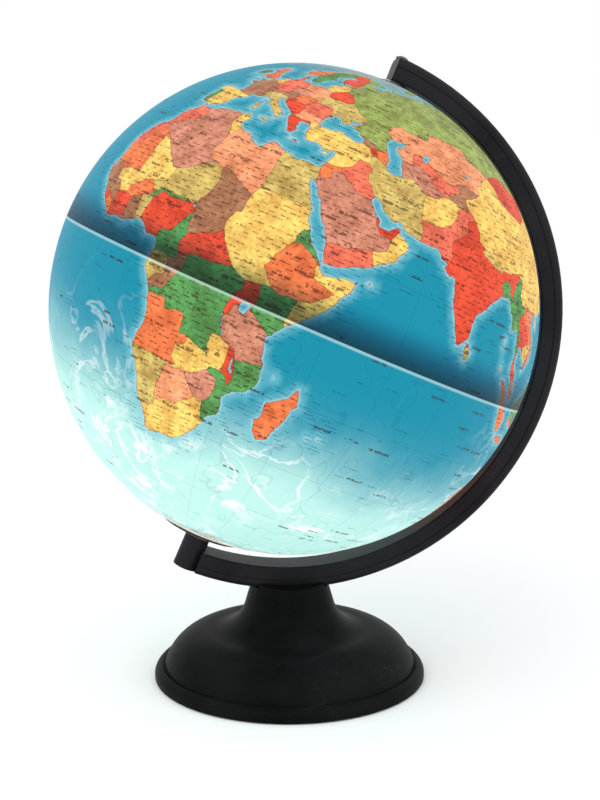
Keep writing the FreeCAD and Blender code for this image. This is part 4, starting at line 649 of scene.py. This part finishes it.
def shallow_sea(paint, look, deep, land, shake):
    """The paler shelf round the lands, and the thin surf at their edge."""
    shelf = (land + shake[1] * 1.6).step(-2.6, -0.1)
    sea = paint.mix(shelf * SHOWS["shelf"], deep, look.shelf)
    return paint.mix((land + shake[2] * 0.5).step(-0.55, -0.1) * SHOWS["surf"], sea, SURF)


def place_marks(paint, latitude, longitude, spot, row_height, cell_width, density):
    """Small dark dashes in rows along the parallels, in place of a map's names. They form no letters."""
    row = (latitude / row_height).maths("FLOOR")
    squeeze = (row * math.radians(row_height)).maths("COSINE")
    along = longitude * squeeze / cell_width + row * 0.37
    cell = along.maths("FLOOR")
    seed = paint.vector(cell, row, row_height)
    dice = paint.node("ShaderNodeTexWhiteNoise", {"noise_dimensions": "3D"}, {"Vector": seed}, out=1)
    chance, size, shift = paint.parts("ShaderNodeSeparateColor", dice)
    across = (along - cell).off_middle()
    height = ((latitude / row_height) - row - 0.5 + (shift - 0.5) * 0.3).maths("ABSOLUTE")
    dash = (across < size * 0.3 + 0.12) * (height < 0.13) * (chance < density)
    broken = paint.noise(spot, scale=1100.0 / row_height, detail=1.0)
    return dash * broken.step(0.4, 0.5)


def lamp_light(paint, latitude):
    """How bright the lamp makes the wall: dark along the joint ring, brightest beside the lamp."""
    northern = latitude > 0
    level = latitude.step(-1.5, 9.0) * 0.88 + 0.12
    level = (level - 1) * northern + 1
    level = level * latitude.step(40, 88, 1.0, 0.72) * latitude.step(0, -45, 1.0, 1.12)
    shade = paint.mix(northern * latitude.step(9, 2), CLEAR, RING_SHADE)
    return paint.tint(shade, paint.vector(level, level, level))


# ---- the finishes of the other pieces ----

LIGHTER, DARKER, WORN = 1.35, 0.72, 0.5     # a moulded tone's other tones, as shares of it


def moulded(name, tone, rough, grain, depth, specular=0.3, metallic=0.0, speck=0.06):
    """Moulded, cast or turned stock: fine grain, faint flow marks and worn spots."""
    paint = Paint(name, Specular_IOR_Level=specular, Metallic=metallic)
    place = paint.object_place()
    fine = paint.noise(place, scale=1 / grain, detail=4.0, roughness=0.6)
    flow = paint.noise(place, scale=14.0, roughness=0.55)
    hair = paint.noise(place, scale=60.0, detail=2.0).veins(0.002, 0.012)
    scuff = hair * paint.noise(place, scale=22.0, detail=2.0).step(0.52, 0.62)
    lighter = tuple(min(1.0, part * LIGHTER + speck * 0.1) for part in tone)
    darker = tuple(part * DARKER for part in tone)
    body = paint.mix(flow.step(0.3, 0.7), darker, lighter)
    body = paint.mix(fine.step(0.35, 0.65) * 0.3, body, lighter)
    body = paint.mix(scuff * speck, body, tuple(part * WORN + 0.12 for part in tone))
    paint.drive(Base_Color=body, Roughness=fine * 0.12 + flow * 0.1 + (rough - 0.11) + scuff * 0.05,
                Normal=paint.bump(fine + scuff * 0.2, depth))
    return paint.material


# Tone, roughness, grain size and bump depth in metres, specular level, metallic.
FINISHES = {
    "dark_pin": ((0.02, 0.02, 0.022), 0.34, 0.0008, 0.00002, 0.5, 0.0),
    "black_part": ((0.012, 0.012, 0.013), 0.5, 0.0006, 0.00003, 0.3, 0.0),
    "soft_rubber": ((0.015, 0.015, 0.015), 0.8, 0.0005, 0.00006, 0.2, 0.0),
    "white_part": ((0.74, 0.73, 0.69), 0.42, 0.0009, 0.00002, 0.45, 0.0),
    "glazed_white": ((0.78, 0.77, 0.73), 0.18, 0.003, 0.00001, 0.5, 0.0),
    "zinc_steel": ((0.5, 0.5, 0.49), 0.34, 0.0007, 0.00002, 0.5, 1.0),
    "brass_part": ((0.66, 0.47, 0.2), 0.3, 0.0007, 0.00002, 0.5, 1.0),
    "frosted_glass": ((0.93, 0.9, 0.82), 0.3, 0.002, 0.00001, 0.5, 0.0),
}

STOCK = {
    "dark_pin": ["north_pin"],
    "black_part": ["north_bush", "south_collar", "pole_plug", "bottom_cover", "cord_clamp_base",
                   "cord_clamp_bar"],
    "soft_rubber": ["foot_ring", "cable_inlet", "lamp_lead"],
    "white_part": ["equator_joint_ring", "north_washer", "bearing_plate", "collar_lock_ring",
                   "terminal_block", "lampholder_body", "lampholder_ring"],
    "glazed_white": ["lampholder_insert", "bulb_insulator"],
    "zinc_steel": ["north_bush_clip", "arm_screws", "cover_screws", "ballast_ring", "ballast_screws",
                   "cord_clamp_screws", "lamp_tube", "tube_nut", "filament"],
    "brass_part": ["terminal_screws", "threaded_contact", "centre_contact", "bulb_tip", "bulb_cap"],
    "frosted_glass": ["bulb_glass", "filament_stem"],
}


def dress(thing, material):
    """Gives a piece one material only."""
    thing.data.materials.clear()
    thing.data.materials.append(material)


# ---- pieces ----

def alone(thing):
    """Selects one object only."""
    bpy.ops.object.select_all(action="DESELECT")
    thing.select_set(True)
    bpy.context.view_layer.objects.active = thing


def edit(thing):
    """Starts the editing of one object, with all of its mesh selected."""
    alone(thing)
    bpy.ops.object.mode_set(mode="EDIT")
    bpy.ops.mesh.select_all(action="SELECT")


def done():
    """Ends the editing."""
    bpy.ops.object.mode_set(mode="OBJECT")


def last_point(thing, with_first=False):
    """Selects the newest point of a mesh in edit mode."""
    sheet = bmesh.from_edit_mesh(thing.data)
    sheet.verts.ensure_lookup_table()
    for place, point in enumerate(sheet.verts):
        point.select_set(place == len(sheet.verts) - 1 or (with_first and place == 0))
    sheet.select_flush_mode()
    bmesh.update_edit_mesh(thing.data)


def wall_outline(name, start, sweep, radius, wall, steps):
    """The section of the ball's wall: an arc, a step in, the arc back and a step out."""
    bpy.ops.object.select_all(action="DESELECT")
    bpy.ops.mesh.primitive_plane_add(size=0.001)
    section = bpy.context.object
    section.name = name
    edit(section)
    bpy.ops.mesh.merge(type="CENTER")
    bpy.ops.transform.translate(value=(radius * math.cos(start), 0, radius * math.sin(start)))
    bpy.ops.mesh.spin(steps=steps, angle=sweep, center=(0, 0, 0), axis=(0, 1, 0))
    end = start + sweep
    last_point(section)
    bpy.ops.mesh.extrude_vertices_move(
        TRANSFORM_OT_translate={"value": (-wall * math.cos(end), 0, -wall * math.sin(end))})
    bpy.ops.mesh.spin(steps=steps // INSIDE_STEPS, angle=-sweep, center=(0, 0, 0), axis=(0, 1, 0))
    last_point(section, with_first=True)
    bpy.ops.mesh.edge_face_add()
    done()
    return section


def map_half(name, north, hole):
    """One printed half of the ball, turned from the section of its wall."""
    look = bpy.context.scene.globe_map
    side = 1 if north else -1
    start = side * math.asin(look.seam / BALL_RADIUS)
    end = side * math.acos(hole / BALL_RADIUS)
    half = wall_outline(name, start, end - start, BALL_RADIUS, look.wall, look.around // 4)
    edit(half)
    bpy.ops.mesh.spin(steps=look.around, angle=math.tau, center=(0, 0, 0), axis=(0, 0, 1))
    bpy.ops.mesh.select_all(action="SELECT")
    bpy.ops.mesh.remove_doubles(threshold=WELD)
    bpy.ops.mesh.normals_make_consistent(inside=False)
    done()
    carry_map(half)
    lay_flat(half, north)
    half.matrix_world = BALL_TURN
    alone(half)
    bpy.ops.object.transform_apply(location=True, rotation=True, scale=True)
    bpy.ops.object.shade_smooth_by_angle(angle=SMOOTH_BALL)
    return half


def mesh_points(mesh):
    """A mesh's points, one in a row."""
    points = np.zeros(len(mesh.vertices) * 3, np.float32)
    mesh.vertices.foreach_get("co", points)
    return points.reshape(-1, 3)


def carry_map(half):
    """Gives each point its distance from the coasts and lands."""
    mesh = half.data
    points = mesh_points(mesh).astype(float)
    distance = np.linalg.norm(points, axis=1)
    lon = np.degrees(np.arctan2(points[:, 1], points[:, 0])) + bpy.context.scene.globe_map.prime
    lat = np.degrees(np.arcsin(points[:, 2] / distance))
    order = np.argsort(lat)
    lon, lat = lon[order], lat[order]
    fields = {name: greatest(words.split("/"), lon, lat, LAND_REACH) for name, words in LANDS.items()}
    lakes = greatest(LAKES.values(), lon, lat, LAND_REACH)
    fields["land"] = np.minimum(greatest(COASTS.values(), lon, lat, COAST_REACH), -lakes)
    icy = (COASTS["antarctica"], COASTS["greenland"])
    fields["ice"] = greatest(icy, lon, lat, COAST_REACH) + ICE_LEAD
    for name, values in fields.items():
        placed = np.empty(len(values), np.float32)
        placed[order] = values
        mesh.attributes.new(name, "FLOAT", "POINT").data.foreach_set("value", placed)


def lay_flat(half, north):
    """A disc layout about the pole for the outside, and a small one in a corner for the inside."""
    mesh = half.data
    layer = mesh.uv_layers.new(name="OFBake")
    points = mesh_points(mesh)
    distance = np.linalg.norm(points, axis=1)
    polar = np.arccos(np.clip(np.abs(points[:, 2]) / distance, 0, 1)) / (math.pi / 2)
    turn = np.arctan2(points[:, 1], points[:, 0]) * (1 if north else -1)
    outside = distance > BALL_RADIUS - bpy.context.scene.globe_map.wall / 2
    middle, reach = [np.where(outside, *pair) for pair in zip(OUTSIDE_DISC, INSIDE_DISC)]
    reach = reach * polar
    flat = np.column_stack([middle + reach * np.cos(turn), middle + reach * np.sin(turn)])
    corners = np.zeros(len(mesh.loops), np.int32)
    mesh.loops.foreach_get("vertex_index", corners)
    layer.data.foreach_set("uv", flat[corners].astype(np.float32).ravel())


class GLOBE_OT_map_ball(bpy.types.Operator):
    """Makes both printed halves of the ball"""
    bl_idname = "globe.map_ball"
    bl_label = "Map Ball"

    def execute(self, context):
        paint = map_paint()
        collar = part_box("south_collar")
        south_hole = (collar[1].y - collar[0].y) / 2 - COLLAR_BEAD
        halves = (("map_north_half", True, BUSH_RADIUS, "north_hemisphere"),
                  ("map_south_half", False, south_hole, "south_hemisphere"))
        for name, north, hole, node in halves:
            half = map_half(name, north, hole)
            dress(half, paint)
            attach(half, "globe")
            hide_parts(node)
        return {"FINISHED"}


class GLOBE_OT_fittings(bpy.types.Operator):
    """Gives every fitting its finish"""
    bl_idname = "globe.fittings"
    bl_label = "Fittings"

    def execute(self, context):
        for finish, nodes in STOCK.items():
            material = moulded(finish, *FINISHES[finish])
            for node in nodes:
                dress(frame["nodes"][node], material)
        return {"FINISHED"}


class GLOBE_OT_arm(bpy.types.Operator):
    """Gives the curved arm and its cover strip their satin black"""
    bl_idname = "globe.arm"
    bl_label = "Curved Arm"

    def execute(self, context):
        tone = tuple(context.scene.globe_stand.arm)
        satin = moulded("arm_satin", tone, rough=0.42, grain=0.0009, depth=0.00002, specular=0.09)
        for node in ("meridian_arm", "arm_cover_strip"):
            dress(frame["nodes"][node], satin)
        return {"FINISHED"}


class GLOBE_OT_base(bpy.types.Operator):
    """Gives the round base its fine black grain"""
    bl_idname = "globe.base"
    bl_label = "Round Base"

    def execute(self, context):
        look = context.scene.globe_stand
        black = moulded("base_grain", tuple(look.base), 0.44, look.grain, depth=0.00004, specular=0.03)
        dress(frame["nodes"]["base_shell"], black)
        return {"FINISHED"}


# ---- the stage ----

FLOOR_SIZE = 12.0
BEND_SHARE, BEND_STEPS = 0.7, 24            # the backdrop's bend, as a share of its height
SENSOR_HEIGHT = 36.0                        # millimetres
LAMPS = {                                   # place, size, share of the key light's power
    "key": ((-0.9, -1.4, 1.7), 1.6, 1.0),
    "fill": ((1.5, -0.9, 1.1), 1.4, 0.45),
}


class GLOBE_OT_stage(bpy.types.Operator):
    """Sets the pale floor and wall, the soft lights and the camera"""
    bl_idname = "globe.stage"
    bl_label = "Stage"

    def execute(self, context):
        stage = context.scene.globe_stage
        floor = sweep_backdrop(stage)
        for name, (place, size, share) in LAMPS.items():
            soft_light(name, place, size, stage.key_power * share)
        world = bpy.data.worlds.new("even_light")
        context.scene.world = world
        world.use_nodes = True
        sky = world.node_tree.nodes["Background"]
        sky.inputs["Color"].default_value = (1, 1, 1, 1)
        sky.inputs["Strength"].default_value = stage.sky
        lens = bpy.data.cameras.new("view")
        lens.lens = stage.lens
        lens.sensor_fit = "VERTICAL"
        lens.sensor_height = SENSOR_HEIGHT
        camera = bpy.data.objects.new("view", lens)
        camera.location = stage.camera_at
        camera.rotation_euler = Vector(stage.camera_way).to_track_quat("-Z", "Y").to_euler()
        context.scene.collection.objects.link(camera)
        context.scene.camera = camera
        context.scene.view_settings.view_transform = "Standard"
        return {"FINISHED"}


def low_back_edge(floor, back):
    """Selects the floor's back edge in edit mode."""
    bpy.ops.mesh.select_all(action="DESELECT")
    sheet = bmesh.from_edit_mesh(floor.data)
    for edge in sheet.edges:
        edge.select_set(all(point.co.y > back * 0.9 and point.co.z < back / 2 for point in edge.verts))
    bmesh.update_edit_mesh(floor.data)


def sweep_backdrop(stage):
    """A floor that turns up into a wall behind the globe."""
    bpy.ops.object.select_all(action="DESELECT")
    bpy.ops.mesh.primitive_plane_add(size=FLOOR_SIZE, location=(0, 0, 0))
    floor = bpy.context.object
    floor.name = "floor"
    back = floor.dimensions.y / 2
    bpy.ops.object.mode_set(mode="EDIT")
    bpy.ops.mesh.select_mode(type="EDGE")
    low_back_edge(floor, back)
    bpy.ops.mesh.extrude_region_move(TRANSFORM_OT_translate={"value": (0, 0, back)})
    low_back_edge(floor, back)
    bpy.ops.mesh.bevel(offset=back * BEND_SHARE, segments=BEND_STEPS)
    bpy.ops.mesh.select_mode(type="VERT")
    done()
    bpy.ops.object.shade_smooth_by_angle(angle=SMOOTH_FLOOR)
    paint = Paint("pale_floor", Roughness=0.9, Specular_IOR_Level=0.0)
    haze = paint.noise(paint.object_place(), scale=2.0, detail=2.0)
    tone = tuple(stage.backdrop)
    paint.drive(Base_Color=paint.mix(haze * 0.3, tone, tuple(part * 0.985 for part in tone)))
    dress(floor, paint.material)
    return floor


def soft_light(name, place, size, power):
    """A square light that faces the ball."""
    lamp = bpy.data.lights.new(name, "AREA")
    lamp.energy = power
    lamp.size = size
    holder = bpy.data.objects.new(name, lamp)
    holder.location = place
    holder.rotation_euler = (BALL_CENTRE - Vector(place)).to_track_quat("-Z", "Y").to_euler()
    bpy.context.scene.collection.objects.link(holder)


class GLOBE_PT_panel(bpy.types.Panel):
    """Lists the globe's pieces"""
    bl_label = "Desktop Globe"
    bl_idname = "GLOBE_PT_panel"
    bl_space_type = "VIEW_3D"
    bl_region_type = "UI"
    bl_category = "Globe"

    def draw(self, context):
        for operator in OPERATORS:
            self.layout.operator(operator.bl_idname)
        for group in GROUPS:
            settings = getattr(context.scene, group)
            for name in settings.__annotations__:
                self.layout.prop(settings, name)


OPERATORS = (GLOBE_OT_map_ball, GLOBE_OT_arm, GLOBE_OT_base, GLOBE_OT_fittings, GLOBE_OT_stage)
GROUPS = {"globe_map": MapSettings, "globe_stand": StandSettings, "globe_stage": StageSettings}


def register():
    for name, group in GROUPS.items():
        bpy.utils.register_class(group)
        setattr(bpy.types.Scene, name, bpy.props.PointerProperty(type=group))
    for piece in (*OPERATORS, GLOBE_PT_panel):
        bpy.utils.register_class(piece)


def unregister():
    for piece in (GLOBE_PT_panel, *reversed(OPERATORS)):
        bpy.utils.unregister_class(piece)
    for name, group in GROUPS.items():
        delattr(bpy.types.Scene, name)
        bpy.utils.unregister_class(group)


def main():
    """Makes every piece and the stage."""
    register()
    for operator in OPERATORS:
        group, name = operator.bl_idname.split(".")
        getattr(getattr(bpy.ops, group), name)()


if __name__ == "__main__":
    main()
